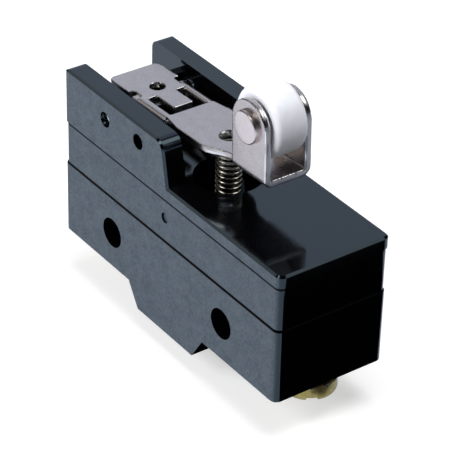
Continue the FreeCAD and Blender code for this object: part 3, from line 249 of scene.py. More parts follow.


# phenolic moulding: black thermoset. Tops and ends are polished in the mould and mirror the studio, the two
# outer sides are spark-eroded and matt, and the light that their matt face spreads is painted into them as a
# slate grey sheen. Limits of the matt part in mm of width and as shares of the surface's slope, grains in mm
# seams are the joints' heights in mm, where a band of painted shade goes
mouldingSet = {"sides": "#555d66", "sidesDark": "#3c434b", "gloss": "#030304", "seam": "#030304",
               "glossTint": (0.62, 0.85, 1.0, 1.0), "sideRough": 0.62, "glossRough": 0.09, "ior": 1.6,
               "sideFrom": 7.4, "sideTo": 7.6, "topFrom": 0.15, "topTo": 0.35, "endFrom": 0.30, "endTo": 0.80,
               "grain": 0.36, "cloud": 1.6, "cloudShare": 0.35, "sideBump": 0.012, "wave": 5.0,
               "waveBump": 0.010, "seams": (5.52, 11.77), "seamHalf": 0.17, "seamSoft": 0.25}


def makeMoulding(name, cfg):
    material, tree = newMaterial(name)
    place = addNode(tree, "ShaderNodeTexCoord").outputs["Object"]
    split = addNode(tree, "ShaderNodeSeparateXYZ", inputs={0: place})
    normal = addNode(tree, "ShaderNodeTexCoord").outputs["Normal"]
    slope = addNode(tree, "ShaderNodeSeparateXYZ", inputs={0: normal})
    # matt, and painted with a slate grey sheen, where the surface is upright, lies far out and doesn't face an
    # end
    mattAndSheen = None
    for value, low, high, atLow, atHigh in (
            (split.outputs["Y"], cfg["sideFrom"] * mm, cfg["sideTo"] * mm, 0.0, 1.0),
            (slope.outputs["Z"], cfg["topFrom"], cfg["topTo"], 1.0, 0.0),
            (slope.outputs["X"], cfg["endFrom"], cfg["endTo"], 1.0, 0.0)):
        size = addNode(tree, "ShaderNodeMath", {"operation": "ABSOLUTE"}, {0: value})
        share = addNode(tree, "ShaderNodeMapRange",
                        inputs={"Value": size.outputs[0], "From Min": low, "From Max": high,
                                "To Min": atLow, "To Max": atHigh}).outputs["Result"]
        if mattAndSheen is not None:
            share = addNode(tree, "ShaderNodeMath", {"operation": "MULTIPLY"},
                            {0: mattAndSheen, 1: share}).outputs[0]
        mattAndSheen = share
    # eroded grain, drawn coarser than the real tenth of a millimetre to show, and the clouds of the filler
    grain = addNode(tree, "ShaderNodeTexNoise",
                    inputs={"Vector": place, "Scale": 1 / (cfg["grain"] * mm), "Detail": 2.0})
    cloud = addNode(tree, "ShaderNodeTexNoise",
                    inputs={"Vector": place, "Scale": 1 / (cfg["cloud"] * mm), "Detail": 3.0})
    mottle = addNode(tree, "ShaderNodeMix", {"data_type": "FLOAT"},
                     {"Factor": cfg["cloudShare"], "A": grain.outputs["Fac"], "B": cloud.outputs["Fac"]})
    spread = addNode(tree, "ShaderNodeMapRange", inputs={"Value": mottle.outputs["Result"], **noiseSpan})
    # painted sheen: a mottled slate grey stands in for the light that the black, matt sides spread
    sheenSlate = addNode(tree, "ShaderNodeMix", {"data_type": "RGBA"},
                    {"Factor": spread.outputs["Result"], "A": colour(cfg["sidesDark"]),
                     "B": colour(cfg["sides"])})
    skin = addNode(tree, "ShaderNodeMix", {"data_type": "RGBA"},
                   {"Factor": mattAndSheen, "A": colour(cfg["gloss"]), "B": sheenSlate.outputs["Result"]}).outputs["Result"]
    # painted shade: the joints between the three mouldings are narrow gaps, and a black band along each, with
    # no reflection, stands in for the shade in them
    sheen = cfg["glossTint"]
    for seam in cfg["seams"]:
        away = addNode(tree, "ShaderNodeMath", {"operation": "SUBTRACT"},
                       {0: split.outputs["Z"], 1: seam * mm})
        gap = addNode(tree, "ShaderNodeMath", {"operation": "ABSOLUTE"}, {0: away.outputs[0]})
        paintedShadeLine = addNode(tree, "ShaderNodeMapRange",
                       inputs={"Value": gap.outputs[0],
                               "From Min": cfg["seamHalf"] * (1 + cfg["seamSoft"]) * mm,
                               "From Max": cfg["seamHalf"] * (1 - cfg["seamSoft"]) * mm}).outputs["Result"]
        skin = addNode(tree, "ShaderNodeMix", {"data_type": "RGBA"},
                       {"Factor": paintedShadeLine, "A": skin, "B": colour(cfg["seam"])}).outputs["Result"]
        sheen = addNode(tree, "ShaderNodeMix", {"data_type": "RGBA"},
                        {"Factor": paintedShadeLine, "A": sheen, "B": grey(0.0)}).outputs["Result"]
    rough = addNode(tree, "ShaderNodeMapRange",
                    inputs={"Value": mattAndSheen, "To Min": cfg["glossRough"], "To Max": cfg["sideRough"]})
    wave = addNode(tree, "ShaderNodeTexNoise",
                   inputs={"Vector": place, "Scale": 1 / (cfg["wave"] * mm), "Detail": 1.0})
    sideHeight = addNode(tree, "ShaderNodeMath", {"operation": "MULTIPLY"},
                         {0: grain.outputs["Fac"], 1: cfg["sideBump"] * mm})
    waveHeight = addNode(tree, "ShaderNodeMath", {"operation": "MULTIPLY"},
                         {0: wave.outputs["Fac"], 1: cfg["waveBump"] * mm})
    height = addNode(tree, "ShaderNodeMix", {"data_type": "FLOAT"},
                     {"Factor": mattAndSheen, "A": waveHeight.outputs[0], "B": sideHeight.outputs[0]})
    bump = addNode(tree, "ShaderNodeBump",
                   inputs={"Strength": 1.0, "Distance": 1.0, "Height": height.outputs["Result"]})
    shader = addNode(tree, "ShaderNodeBsdfPrincipled",
                     inputs={"Base Color": skin, "Roughness": rough.outputs["Result"], "IOR": cfg["ior"],
                             "Specular Tint": sheen, "Normal": bump.outputs[0]})
    addNode(tree, "ShaderNodeOutputMaterial", inputs={"Surface": shader.outputs[0]})
    return material


# sheared edges of the lever's sheet: colours and roughness of the burnished and the torn part, sizes of the
# bands in mm, and where each mask begins, where it is full and how far it then goes, on the surface's slope
# or the noise
cutSet = {"bright": "#f4f2f0", "torn": "#7d7b7e", "smooth": 0.18, "coarse": 0.42, "plateTop": 19.9,
          "cheekBands": (3.0, 0.30, 3.0), "plateBands": (6.0, 6.0, 0.5), "edge": (0.30, 0.55, 1.0),
          "tear": (0.42, 0.62, 1.0), "square": (0.88, 0.97, 0.8)}

# metals: colours, roughness, length, width and height of the finish marks in mm, drawn coarser than the real
# ones where those are too fine to show, and their depth in mm
metalSet = {
    # stainless sheet, cold rolled: pale warm grey with a fine grain and blurred reflections
    "rolledStainless": {"light": "#cdc4c0", "dark": "#beb5b2", "rough": 0.28, "mark": (0.5, 0.14, 0.14),
                        "bump": 0.0004, "cut": cutSet},
    # spring steel wire, drawn: bright crescents along each turn
    "springSteelWire": {"light": "#f2ecde", "dark": "#d9d3c6", "rough": 0.24, "mark": (0.3, 0.3, 0.05),
                        "bump": 0.0006},
    # steel rivet, nickelled: nearly white, satin on the flat of its head
    "nickelledRivet": {"light": "#e9dedb", "dark": "#dbd0cd", "rough": 0.34, "mark": (0.5, 0.5, 0.5),
                       "bump": 0.0015},
    # steel, ground and hardened: clear glints at the rounded ends
    "groundSteel": {"light": "#d9d7d3", "dark": "#c2c0bc", "rough": 0.18, "mark": (0.08, 1.2, 0.08),
                    "bump": 0.0006},
    # steel, blackened in hot salts: dark with a dull shine
    "blackenedSteel": {"light": "#3a3a3e", "dark": "#262629", "rough": 0.36, "mark": (0.3, 0.3, 0.1),
                       "bump": 0.0008},
    # brass strip, rolled: yellow with streaks along it
    "terminalBrass": {"light": "#d8c58c", "dark": "#c3ae72", "rough": 0.28, "mark": (1.2, 0.12, 0.12),
                      "bump": 0.001},
    # brass screws, barrel plated: greenish yellow with soft, uneven reflections
    "platedBrass": {"light": "#bcab6c", "dark": "#93854f", "rough": 0.32, "mark": (0.5, 0.5, 0.5),
                    "bump": 0.002},
    # beryllium copper strip, rolled and aged: reddish with streaks along it
    "berylliumCopper": {"light": "#d8945f", "dark": "#c27e4c", "rough": 0.24, "mark": (1.5, 0.1, 0.1),
                        "bump": 0.0008},
    # silver contacts, struck: white and softly shining
    "silverContact": {"light": "#f0eeea", "dark": "#d9d7d2", "rough": 0.30, "mark": (0.25, 0.25, 0.25),
                      "bump": 0.0008},
}
# tarnish patches in mm and their share in the tone, and how far the marks change the roughness
tarnishSet = {"size": 1.3, "share": 0.4, "roughChange": 0.15}


def makeMetal(name, cfg, tarnish):
    material, tree = newMaterial(name)
    place = addNode(tree, "ShaderNodeTexCoord").outputs["Object"]
    stretched = addNode(tree, "ShaderNodeMapping",
                        inputs={"Vector": place, "Scale": [1 / (m * mm) for m in cfg["mark"]]})
    marks = addNode(tree, "ShaderNodeTexNoise",
                    inputs={"Vector": stretched.outputs[0], "Scale": 1.0, "Detail": 3.0, "Roughness": 0.6})
    patches = addNode(tree, "ShaderNodeTexNoise",
                      inputs={"Vector": place, "Scale": 1 / (tarnish["size"] * mm), "Detail": 2.0})
    blend = addNode(tree, "ShaderNodeMix", {"data_type": "FLOAT"},
                    {"Factor": tarnish["share"], "A": marks.outputs["Fac"], "B": patches.outputs["Fac"]})
    spread = addNode(tree, "ShaderNodeMapRange", inputs={"Value": blend.outputs["Result"], **noiseSpan})
    skin = addNode(tree, "ShaderNodeMix", {"data_type": "RGBA"},
                   {"Factor": spread.outputs["Result"], "A": colour(cfg["dark"]),
                    "B": colour(cfg["light"])}).outputs["Result"]
    rough = addNode(tree, "ShaderNodeMapRange",
                    inputs={"Value": marks.outputs["Fac"], "From Min": 0.3, "From Max": 0.7,
                            "To Min": cfg["rough"] * (1 - tarnish["roughChange"]),
                            "To Max": cfg["rough"] * (1 + tarnish["roughChange"])}).outputs["Result"]
    if "cut" in cfg:
        skin, rough = showCut(tree, place, skin, rough, cfg["cut"])
    bump = addNode(tree, "ShaderNodeBump",
                   inputs={"Strength": 1.0, "Distance": cfg["bump"] * mm, "Height": marks.outputs["Fac"]})
    shader = addNode(tree, "ShaderNodeBsdfPrincipled",
                     inputs={"Base Color": skin, "Metallic": 1.0, "Roughness": rough,
                             "Normal": bump.outputs[0]})
    addNode(tree, "ShaderNodeOutputMaterial", inputs={"Surface": shader.outputs[0]})
    return material


def showCut(tree, place, skin, rough, cut):
    # edges that face along the lever were sheared: bright burnished and grey torn bands run round them
    normal = addNode(tree, "ShaderNodeTexCoord").outputs["Normal"]
    slope = addNode(tree, "ShaderNodeSeparateXYZ", inputs={0: normal})
    along = addNode(tree, "ShaderNodeMath", {"operation": "ABSOLUTE"}, {0: slope.outputs["X"]}).outputs[0]
    # bands follow the cheeks upwards, and lower down the plate's outline
    height = addNode(tree, "ShaderNodeSeparateXYZ", inputs={0: place}).outputs["Z"]
    onCheek = addNode(tree, "ShaderNodeMath", {"operation": "GREATER_THAN"},
                      {0: height, 1: cut["plateTop"] * mm})
    across, level = (addNode(tree, "ShaderNodeMapping",
                             inputs={"Vector": place, "Scale": [1 / (m * mm) for m in cut[k]]})
                     for k in ("cheekBands", "plateBands"))
    streaks = addNode(tree, "ShaderNodeMix", {"data_type": "VECTOR"},
                      {"Factor": onCheek.outputs[0], "A": level.outputs[0], "B": across.outputs[0]})
    bands = addNode(tree, "ShaderNodeTexNoise",
                    inputs={"Vector": streaks.outputs["Result"], "Scale": 1.0, "Detail": 1.0})
    masks = []
    for value, name in ((along, "edge"), (bands.outputs["Fac"], "tear"), (along, "square")):
        low, high, top = cut[name]
        masks.append(addNode(tree, "ShaderNodeMapRange",
                             inputs={"Value": value, "From Min": low, "From Max": high,
                                     "To Max": top}).outputs["Result"])
    onCut, torn, square = masks
    share = addNode(tree, "ShaderNodeMath", {"operation": "MAXIMUM"}, {0: torn, 1: square}).outputs[0]
    metal = addNode(tree, "ShaderNodeMix", {"data_type": "RGBA"},
                    {"Factor": share, "A": colour(cut["bright"]), "B": colour(cut["torn"])})
    shine = addNode(tree, "ShaderNodeMapRange",
                    inputs={"Value": share, "To Min": cut["smooth"], "To Max": cut["coarse"]})
    cutSkin = addNode(tree, "ShaderNodeMix", {"data_type": "RGBA"},
                      {"Factor": onCut, "A": skin, "B": metal.outputs["Result"]})
    cutRough = addNode(tree, "ShaderNodeMix", {"data_type": "FLOAT"},
                       {"Factor": onCut, "A": rough, "B": shine.outputs["Result"]})
    return cutSkin.outputs["Result"], cutRough.outputs["Result"]


# engineering plastics of the small parts: colours, roughness, share of light that goes in, ior
plasticSet = {
    # nylon bar, turned: milky white, light goes a little way into it
    "turnedNylon": {"light": "#f1f2f8", "dark": "#e3e5ef", "rough": 0.38, "glow": 0.12, "ior": 1.53},
    # phenolic, moulded and dyed red: opaque with a low shine
    "redPhenolic": {"light": "#9c2a22", "dark": "#87221b", "rough": 0.30, "glow": 0.0, "ior": 1.5},
}
# clouds and fine grain in mm, the grain's depth in mm and change of roughness, how deep light goes in mm
plasticGrain = {"cloud": 1.1, "fine": 0.15, "bump": 0.002, "roughChange": 0.2, "depth": 0.6}


def makePlastic(name, cfg, grain):
    material, tree = newMaterial(name)
    place = addNode(tree, "ShaderNodeTexCoord").outputs["Object"]
    cloud = addNode(tree, "ShaderNodeTexNoise",
                    inputs={"Vector": place, "Scale": 1 / (grain["cloud"] * mm), "Detail": 2.0})
    fine = addNode(tree, "ShaderNodeTexNoise",
                   inputs={"Vector": place, "Scale": 1 / (grain["fine"] * mm), "Detail": 1.0})
    tone = addNode(tree, "ShaderNodeMix", {"data_type": "RGBA"},
                   {"Factor": cloud.outputs["Fac"], "A": colour(cfg["dark"]), "B": colour(cfg["light"])})
    rough = addNode(tree, "ShaderNodeMapRange",
                    inputs={"Value": fine.outputs["Fac"], "To Min": cfg["rough"] * (1 - grain["roughChange"]),
                            "To Max": cfg["rough"] * (1 + grain["roughChange"])})
    bump = addNode(tree, "ShaderNodeBump",
                   inputs={"Strength": 1.0, "Distance": grain["bump"] * mm, "Height": fine.outputs["Fac"]})
    depth = grain["depth"] * mm
    shader = addNode(tree, "ShaderNodeBsdfPrincipled",
                     inputs={"Base Color": tone.outputs["Result"], "Roughness": rough.outputs["Result"],
                             "IOR": cfg["ior"], "Subsurface Weight": cfg["glow"],
                             "Subsurface Radius": (depth, depth, depth), "Subsurface Scale": 1.0,
                             "Normal": bump.outputs[0]})
    addNode(tree, "ShaderNodeOutputMaterial", inputs={"Surface": shader.outputs[0]})
    return material


def dress(material, *names):
    # solids that keep their plain shape get a finish
    for name in names:
        mesh = nodes[name].data
        mesh.materials.clear()
        mesh.materials.append(material)


weldGap = 0.0005 * mm            # points of a turned shape that lie nearer than this are one
sharpAngle = math.radians(40)    # edges that turn further than this stay crisp


def turn(profile, steps=64):
    # a mesh turned about Z from its half section of (radius, height) in mm, closed at both ends
    shape = bmesh.new()
    last = None
    for radius, height in profile:
        vert = shape.verts.new((radius * mm, 0, height * mm))
        if last is not None:
            shape.edges.new((last, vert))
        last = vert
    bmesh.ops.spin(shape, geom=shape.verts[:] + shape.edges[:], cent=(0, 0, 0), axis=(0, 0, 1),
                   angle=math.tau, steps=steps, use_merge=True)
    bmesh.ops.remove_doubles(shape, verts=shape.verts, dist=weldGap)
    bmesh.ops.recalc_face_normals(shape, faces=shape.faces)
    mesh = bpy.data.meshes.new("turned")
    shape.to_mesh(mesh)
    shape.free()
    return mesh


def roundCorner(radius, height, size, start, steps=6):
    # points of a quarter round of a half section about (radius, height), from an angle in degrees
    sweep = [math.radians(start + 90 * i / steps) for i in range(steps + 1)]
    return [(radius + size * math.cos(a), height + size * math.sin(a)) for a in sweep]


def addPiece(name, mesh, material, place):
    # smooth faces with crisp corners, its place in its mesh
    mesh.transform(place)
    mesh.polygons.foreach_set("use_smooth", [True] * len(mesh.polygons))
    mesh.set_sharp_from_angle(angle=sharpAngle)
    mesh.materials.clear()
    mesh.materials.append(material)
    piece = bpy.data.objects.new(name, mesh)
    bpy.context.collection.objects.link(piece)
    return piece


def enter(piece, body, slotName, *replaced):
    # moves with a CAD body and stands for its plain solids
    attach(piece, body)
    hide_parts(*replaced)


def middle(node):
    low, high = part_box(node)
    return (low + high) / 2


alongWidth = Matrix.Rotation(math.radians(90), 4, "X")   # turns a lathe's upright axis to -Y, the near side


# roller: turned nylon, its rims rounded off and its faces dished inside a radius, lengths in mm
rollerSet = {"bore": 1.08, "rim": 0.85, "dish": 0.12, "dishRadius": 3.6, "dishSlope": 0.3, "steps": 96}


def makeRoller(cfg, material):
    low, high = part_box("roller")
    radius = (high.x - low.x) / 2 / mm
    half = (high.y - low.y) / 2 / mm
    rim = cfg["rim"]
    dished = [(cfg["bore"], half - cfg["dish"]), (cfg["dishRadius"] - cfg["dishSlope"], half - cfg["dish"]),
              (cfg["dishRadius"], half)]
    profile = [(r, -h) for r, h in dished]
    profile += roundCorner(radius - rim, -half + rim, rim, -90)
    profile += roundCorner(radius - rim, half - rim, rim, 0)
    profile += dished[::-1] + profile[:1]
    place = Matrix.Translation(middle("roller")) @ alongWidth
    piece = addPiece("nylon_roller", turn(profile, cfg["steps"]), material, place)
    enter(piece, "roller_wheel", "roller_nylon", "roller")


# rivet through fork and roller: flat head on the near side, peened dome on the far side. Lengths in mm, and
# where the slight crown bends, as shares of the head's radius and of the crown's rise
rivetSet = {"shank": 1.05, "head": 2.3, "headThick": 0.7, "headRim": 0.34, "crown": 0.03,
            "crownBend": (0.5, 0.75), "tail": 1.95, "tailThick": 0.85, "forkHalf": 3.65, "domeSteps": 10}


def makeRivet(cfg, material):
    seat = cfg["forkHalf"]
    headTop = seat + cfg["headThick"]
    rim = cfg["headRim"]
    dome = [(cfg["tail"] * math.cos(a), -seat - cfg["tailThick"] * math.sin(a))
            for a in (math.radians(90 - 90 * i / cfg["domeSteps"]) for i in range(cfg["domeSteps"] + 1))]
    profile = [(0, dome[0][1])] + dome[1:]
    profile += [(cfg["shank"], -seat), (cfg["shank"], seat), (cfg["head"], seat)]
    profile += roundCorner(cfg["head"] - rim, headTop - rim, rim, 0)
    out, up = cfg["crownBend"]
    profile += [(cfg["head"] * out, headTop + cfg["crown"] * up), (0, headTop + cfg["crown"])]
    place = middle("roller")
    place.y = 0
    piece = addPiece("fork_rivet", turn(profile), material, Matrix.Translation(place) @ alongWidth)
    enter(piece, "lever_arm", "bright_steel", "roller_rivet")


# hinge pin: ground rod with domed ends, sunk in the ears. The dome's height in mm
pinSet = {"dome": 0.22, "steps": 5}


def makePin(cfg, material):
    low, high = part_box("hinge_pin")
    radius = (high.x - low.x) / 2 / mm
    half = (high.y - low.y) / 2 / mm
    arcs = [math.radians(90 * i / cfg["steps"]) for i in range(cfg["steps"] + 1)]
    near = [(radius * math.cos(a), half - cfg["dome"] + cfg["dome"] * math.sin(a)) for a in arcs]
    profile = [(r, -h) for r, h in reversed(near)] + near
    place = Matrix.Translation((low + high) / 2) @ alongWidth
    piece = addPiece("ground_hinge_pin", turn(profile), material, place)
    enter(piece, "housing", "bright_steel", "hinge_pin")


# lever: the folded sheet with its edges tumbled round, lengths in mm
leverSet = {"weld": 0.001, "grid": 0.115, "smoothing": 0.5, "passes": 9}


def makeLever(cfg, material):
    shape = bmesh.new()
    shape.from_mesh(nodes["lever"].data)
    bmesh.ops.remove_doubles(shape, verts=shape.verts, dist=cfg["weld"] * mm)
    mesh = bpy.data.meshes.new("tumbledLever")
    shape.to_mesh(mesh)
    shape.free()
    carrier = bpy.data.objects.new("tumbledLever", mesh)
    bpy.context.collection.objects.link(carrier)
    grid = carrier.modifiers.new("grid", "REMESH")
    grid.mode = "VOXEL"
    grid.voxel_size = cfg["grid"] * mm
    worn = carrier.modifiers.new("worn", "SMOOTH")
    worn.factor = cfg["smoothing"]
    worn.iterations = cfg["passes"]
    graph = bpy.context.evaluated_depsgraph_get()
    graph.update()
    softMesh = bpy.data.meshes.new_from_object(carrier.evaluated_get(graph))
    bpy.data.objects.remove(carrier)
    print("lever mesh", len(softMesh.polygons), "faces")
    softMesh.polygons.foreach_set("use_smooth", [True] * len(softMesh.polygons))
    softMesh.materials.clear()
    softMesh.materials.append(material)
    piece = bpy.data.objects.new("folded_lever", softMesh)
    bpy.context.collection.objects.link(piece)
    enter(piece, "lever_arm", "stainless_sheet", "lever")


def newTree(name, sizes):
    # a geometry tree with a named input for each size
    tree = bpy.data.node_groups.new(name, "GeometryNodeTree")
    tree.interface.new_socket("Geometry", in_out="INPUT", socket_type="NodeSocketGeometry")
    for label, value in sizes.items():
        kind = "NodeSocketInt" if isinstance(value, int) else "NodeSocketFloat"
        tree.interface.new_socket(label, in_out="INPUT", socket_type=kind)
    tree.interface.new_socket("Geometry", in_out="OUTPUT", socket_type="NodeSocketGeometry")
    return tree, addNode(tree, "NodeGroupInput").outputs


def closeTree(tree, geometry, material):
    real = addNode(tree, "GeometryNodeRealizeInstances", inputs={0: geometry})
    painted = addNode(tree, "GeometryNodeSetMaterial",
                      inputs={"Geometry": real.outputs[0], "Material": material})
    addNode(tree, "NodeGroupOutput", inputs={0: painted.outputs[0]})


def grow(name, points, tree, sizes):
    # runs the tree on a mesh of seat points and returns the plain mesh that it makes
    base = bpy.data.meshes.new(name)
    base.from_pydata(points, [], [])
    carrier = bpy.data.objects.new(name, base)
    bpy.context.collection.objects.link(carrier)
    modifier = carrier.modifiers.new(name, "NODES")
    modifier.node_group = tree
    for item in tree.interface.items_tree:
        if item.in_out == "INPUT" and item.name in sizes:
            modifier[item.identifier] = sizes[item.name]
    graph = bpy.context.evaluated_depsgraph_get()
    graph.update()
    mesh = bpy.data.meshes.new_from_object(carrier.evaluated_get(graph))
    carrier.modifiers.remove(modifier)
    bpy.data.objects.remove(carrier)
    return mesh


def scaled(cfg, lengths):
    # tree inputs from a piece's settings, its lengths from mm to metres
    return {label: value * mm if label in lengths else value for label, value in cfg.items()}


# return spring: bright steel wire, its end coils closed up, lengths in mm
springSet = {"Turns": 11.3, "Dead turns": 1.15, "Wire radius": 0.2, "Steps": 36, "Wire steps": 12}


def makeSpring(cfg, material):
    low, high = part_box("return_spring")
    sizes = scaled(cfg, ["Wire radius"])
    sizes["Coil radius"] = (high.y - low.y) / 2 - sizes["Wire radius"]
    sizes["Rise"] = high.z - low.z - 2 * sizes["Wire radius"]
    tree, given = newTree("coilSpring", sizes)
    coil = addNode(tree, "GeometryNodeCurveSpiral",
                   inputs={"Resolution": given["Steps"], "Rotations": given["Turns"],
                           "Start Radius": given["Coil radius"], "End Radius": given["Coil radius"],
                           "Height": 0.0})
    along = addNode(tree, "GeometryNodeSplineParameter").outputs["Factor"]
    turns = addNode(tree, "ShaderNodeMath", {"operation": "MULTIPLY"},
                    {0: along, 1: given["Turns"]}).outputs[0]
    # each closed end rises by a wire's thickness a turn, and the open coils take the rest
    closed = addNode(tree, "ShaderNodeMath", {"operation": "MULTIPLY"},
                     {0: given["Dead turns"], 1: given["Wire radius"]}).outputs[0]
    closedRise = addNode(tree, "ShaderNodeMath", {"operation": "MULTIPLY"}, {0: closed, 1: 2.0}).outputs[0]
    bothRise = addNode(tree, "ShaderNodeMath", {"operation": "MULTIPLY"}, {0: closedRise, 1: 2.0}).outputs[0]
    openRise = addNode(tree, "ShaderNodeMath", {"operation": "SUBTRACT"},
                       {0: given["Rise"], 1: bothRise}).outputs[0]
    lastStart = addNode(tree, "ShaderNodeMath", {"operation": "SUBTRACT"},
                        {0: given["Turns"], 1: given["Dead turns"]}).outputs[0]
    height = None
    for start, stop, rise in ((0.0, given["Dead turns"], closedRise),
                              (given["Dead turns"], lastStart, openRise),
                              (lastStart, given["Turns"], closedRise)):
        share = addNode(tree, "ShaderNodeMapRange",
                        inputs={"Value": turns, "From Min": start, "From Max": stop,
                                "To Max": rise}).outputs[0]
        if height is not None:
            share = addNode(tree, "ShaderNodeMath", {"operation": "ADD"},
                            {0: height, 1: share}).outputs[0]
        height = share
    lift = addNode(tree, "ShaderNodeCombineXYZ", inputs={"Z": height})
    raised = addNode(tree, "GeometryNodeSetPosition",
                     inputs={"Geometry": coil.outputs[0], "Offset": lift.outputs[0]})
    section = addNode(tree, "GeometryNodeCurvePrimitiveCircle",
                      inputs={"Resolution": given["Wire steps"], "Radius": given["Wire radius"]})
    wire = addNode(tree, "GeometryNodeCurveToMesh",
                   inputs={"Curve": raised.outputs[0], "Profile Curve": section.outputs[0],
                           "Fill Caps": True})
    closeTree(tree, wire.outputs[0], material)
    mesh = grow("coilSpring", [(0, 0, 0)], tree, sizes)
    centre = (low + high) / 2
    foot = Vector((centre.x, centre.y, low.z))
    seat = foot + Vector((0, 0, sizes["Wire radius"]))
    piece = addPiece("coil_spring", mesh, material, Matrix.Translation(seat))
    enter(piece, "plunger", "bright_steel", "return_spring")
    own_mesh(piece)


# terminal screws: cheese heads with a wide struck slot, each over a lock washer. Thread, a ridge of three
# corners along a spiral, lengths in mm
screwSet = {"Pitch": 0.7, "Thread radius": 1.78, "Ridge": 0.2, "Ridge corners": 3, "Turns": 7.2, "Steps": 24,
            "Thread start": -0.8}
# head and core, lengths in mm and the slot's turn in degrees. The slot's cutter stands out of the face by
# cutOut and widens there by the share cutSpread
headSet = {"head": 3.82, "rim": 0.5, "thick": 2.2, "chamfer": 0.12, "washer": 0.9, "core": 1.62, "tip": 4.4,
           "point": 0.45, "slotHalf": 0.72, "slotDepth": 0.6, "flareHalf": 1.25, "flareDepth": 0.34,
           "slotTurn": -30, "cutOut": 0.5, "cutSpread": 1.4, "cutReach": 6, "soft": 0.22, "softSteps": 3}


def slotCutter(cfg):
    # a long bar with the slot's section: upright walls that flare out at the head's face
    low = (-cfg["washer"] - cfg["thick"] - cfg["cutOut"]) * mm
    face = (-cfg["washer"] - cfg["thick"]) * mm
    flare = face + cfg["flareDepth"] * mm
    top = face + cfg["slotDepth"] * mm
    narrow, wide = cfg["slotHalf"] * mm, cfg["flareHalf"] * mm
    outer = wide * cfg["cutSpread"]
    section = [(-outer, low), (-wide, face), (-narrow, flare), (-narrow, top), (narrow, top),
               (narrow, flare), (wide, face), (outer, low)]
    reach = cfg["cutReach"] * mm
    shape = bmesh.new()
    ends = [[shape.verts.new((x, y, z)) for y, z in section] for x in (-reach, reach)]
    for i in range(len(section)):
        j = (i + 1) % len(section)
        shape.faces.new((ends[0][i], ends[0][j], ends[1][j], ends[1][i]))
    shape.faces.new(ends[0])
    shape.faces.new(ends[1])
    bmesh.ops.recalc_face_normals(shape, faces=shape.faces)
    mesh = bpy.data.meshes.new("slotCutter")
    shape.to_mesh(mesh)
    shape.free()
    cutter = bpy.data.objects.new("slotCutter", mesh)
    cutter.rotation_euler.z = math.radians(cfg["slotTurn"])
    bpy.context.collection.objects.link(cutter)
    return cutter


def screwBlank(cfg):
    # the turned screw with its slot, heights from the terminal plate's underside
    low = -cfg["washer"] - cfg["thick"]
    rim = cfg["rim"]
    profile = [(0, low)] + roundCorner(cfg["head"] - rim, low + rim, rim, -90)
    profile += [(cfg["head"], -cfg["washer"] - cfg["chamfer"]), (cfg["head"] - cfg["chamfer"], -cfg["washer"]),
                (cfg["core"], -cfg["washer"]), (cfg["core"], cfg["tip"] - cfg["point"]),
                (cfg["core"] - cfg["point"], cfg["tip"]), (0, cfg["tip"])]
    blank = bpy.data.objects.new("screwBlank", turn(profile))
    bpy.context.collection.objects.link(blank)
    cutter = slotCutter(cfg)
    cut = blank.modifiers.new("slot", "BOOLEAN")
    cut.object = cutter
    cut.operation = "DIFFERENCE"
    cut.solver = "EXACT"
    soft = blank.modifiers.new("soft", "BEVEL")
    soft.width = cfg["soft"] * mm
    soft.segments = cfg["softSteps"]
    soft.angle_limit = sharpAngle
    graph = bpy.context.evaluated_depsgraph_get()
    graph.update()
    mesh = bpy.data.meshes.new_from_object(blank.evaluated_get(graph))
    bpy.data.objects.remove(cutter)
    bpy.data.objects.remove(blank)
    blank = bpy.data.objects.new("screwBlank", mesh)
    bpy.context.collection.objects.link(blank)
    return blank


def makeScrews(cfg, headCfg, seats, material):
    sizes = scaled(cfg, ["Pitch", "Thread radius", "Ridge", "Thread start"])
    tree, given = newTree("terminalScrews", sizes)
    blank = screwBlank(headCfg)
    turned = addNode(tree, "GeometryNodeObjectInfo", inputs={"Object": blank})
    rise = addNode(tree, "ShaderNodeMath", {"operation": "MULTIPLY"}, {0: given["Turns"], 1: given["Pitch"]})
    helix = addNode(tree, "GeometryNodeCurveSpiral",
                    inputs={"Resolution": given["Steps"], "Rotations": given["Turns"],
                            "Start Radius": given["Thread radius"], "End Radius": given["Thread radius"],
                            "Height": rise.outputs[0]})
    ridge = addNode(tree, "GeometryNodeCurvePrimitiveCircle",
                    inputs={"Resolution": given["Ridge corners"], "Radius": given["Ridge"]})
    thread = addNode(tree, "GeometryNodeCurveToMesh",
                     inputs={"Curve": helix.outputs[0], "Profile Curve": ridge.outputs[0],
                             "Fill Caps": True})
    down = addNode(tree, "ShaderNodeCombineXYZ", inputs={"Z": given["Thread start"]})
    lowered = addNode(tree, "GeometryNodeTransform",
                      inputs={"Geometry": thread.outputs[0], "Translation": down.outputs[0]})
    whole = addNode(tree, "GeometryNodeJoinGeometry")
    tree.links.new(turned.outputs["Geometry"], whole.inputs[0])
    tree.links.new(lowered.outputs[0], whole.inputs[0])
    points = addNode(tree, "GeometryNodeMeshToPoints", inputs={"Mesh": given["Geometry"]})
    screws = addNode(tree, "GeometryNodeInstanceOnPoints",
                     inputs={"Points": points.outputs[0], "Instance": whole.outputs[0]})
    closeTree(tree, screws.outputs[0], material)
    mesh = grow("terminalScrews", seats, tree, sizes)
    bpy.data.objects.remove(blank)
    piece = addPiece("terminal_screws", mesh, material, Matrix.Identity(4))
    enter(piece, "housing", "screw_brass", "com_screw", "no_screw", "nc_screw")


# lock washers: a ring with twisted teeth round it, lengths in mm and the twist in radians. "Tooth seat" is
# the share of a tooth's length by which its middle stands outside the ring
washerSet = {"Ring radius": 2.63, "Ring width": 1.1, "Ring steps": 72, "Sheet": 0.42, "Teeth": 12,
             "Tooth length": 0.95, "Tooth width": 0.85, "Tooth steps": 6, "Tooth seat": 0.4, "Twist": 0.62,
             "Low": 0.66}


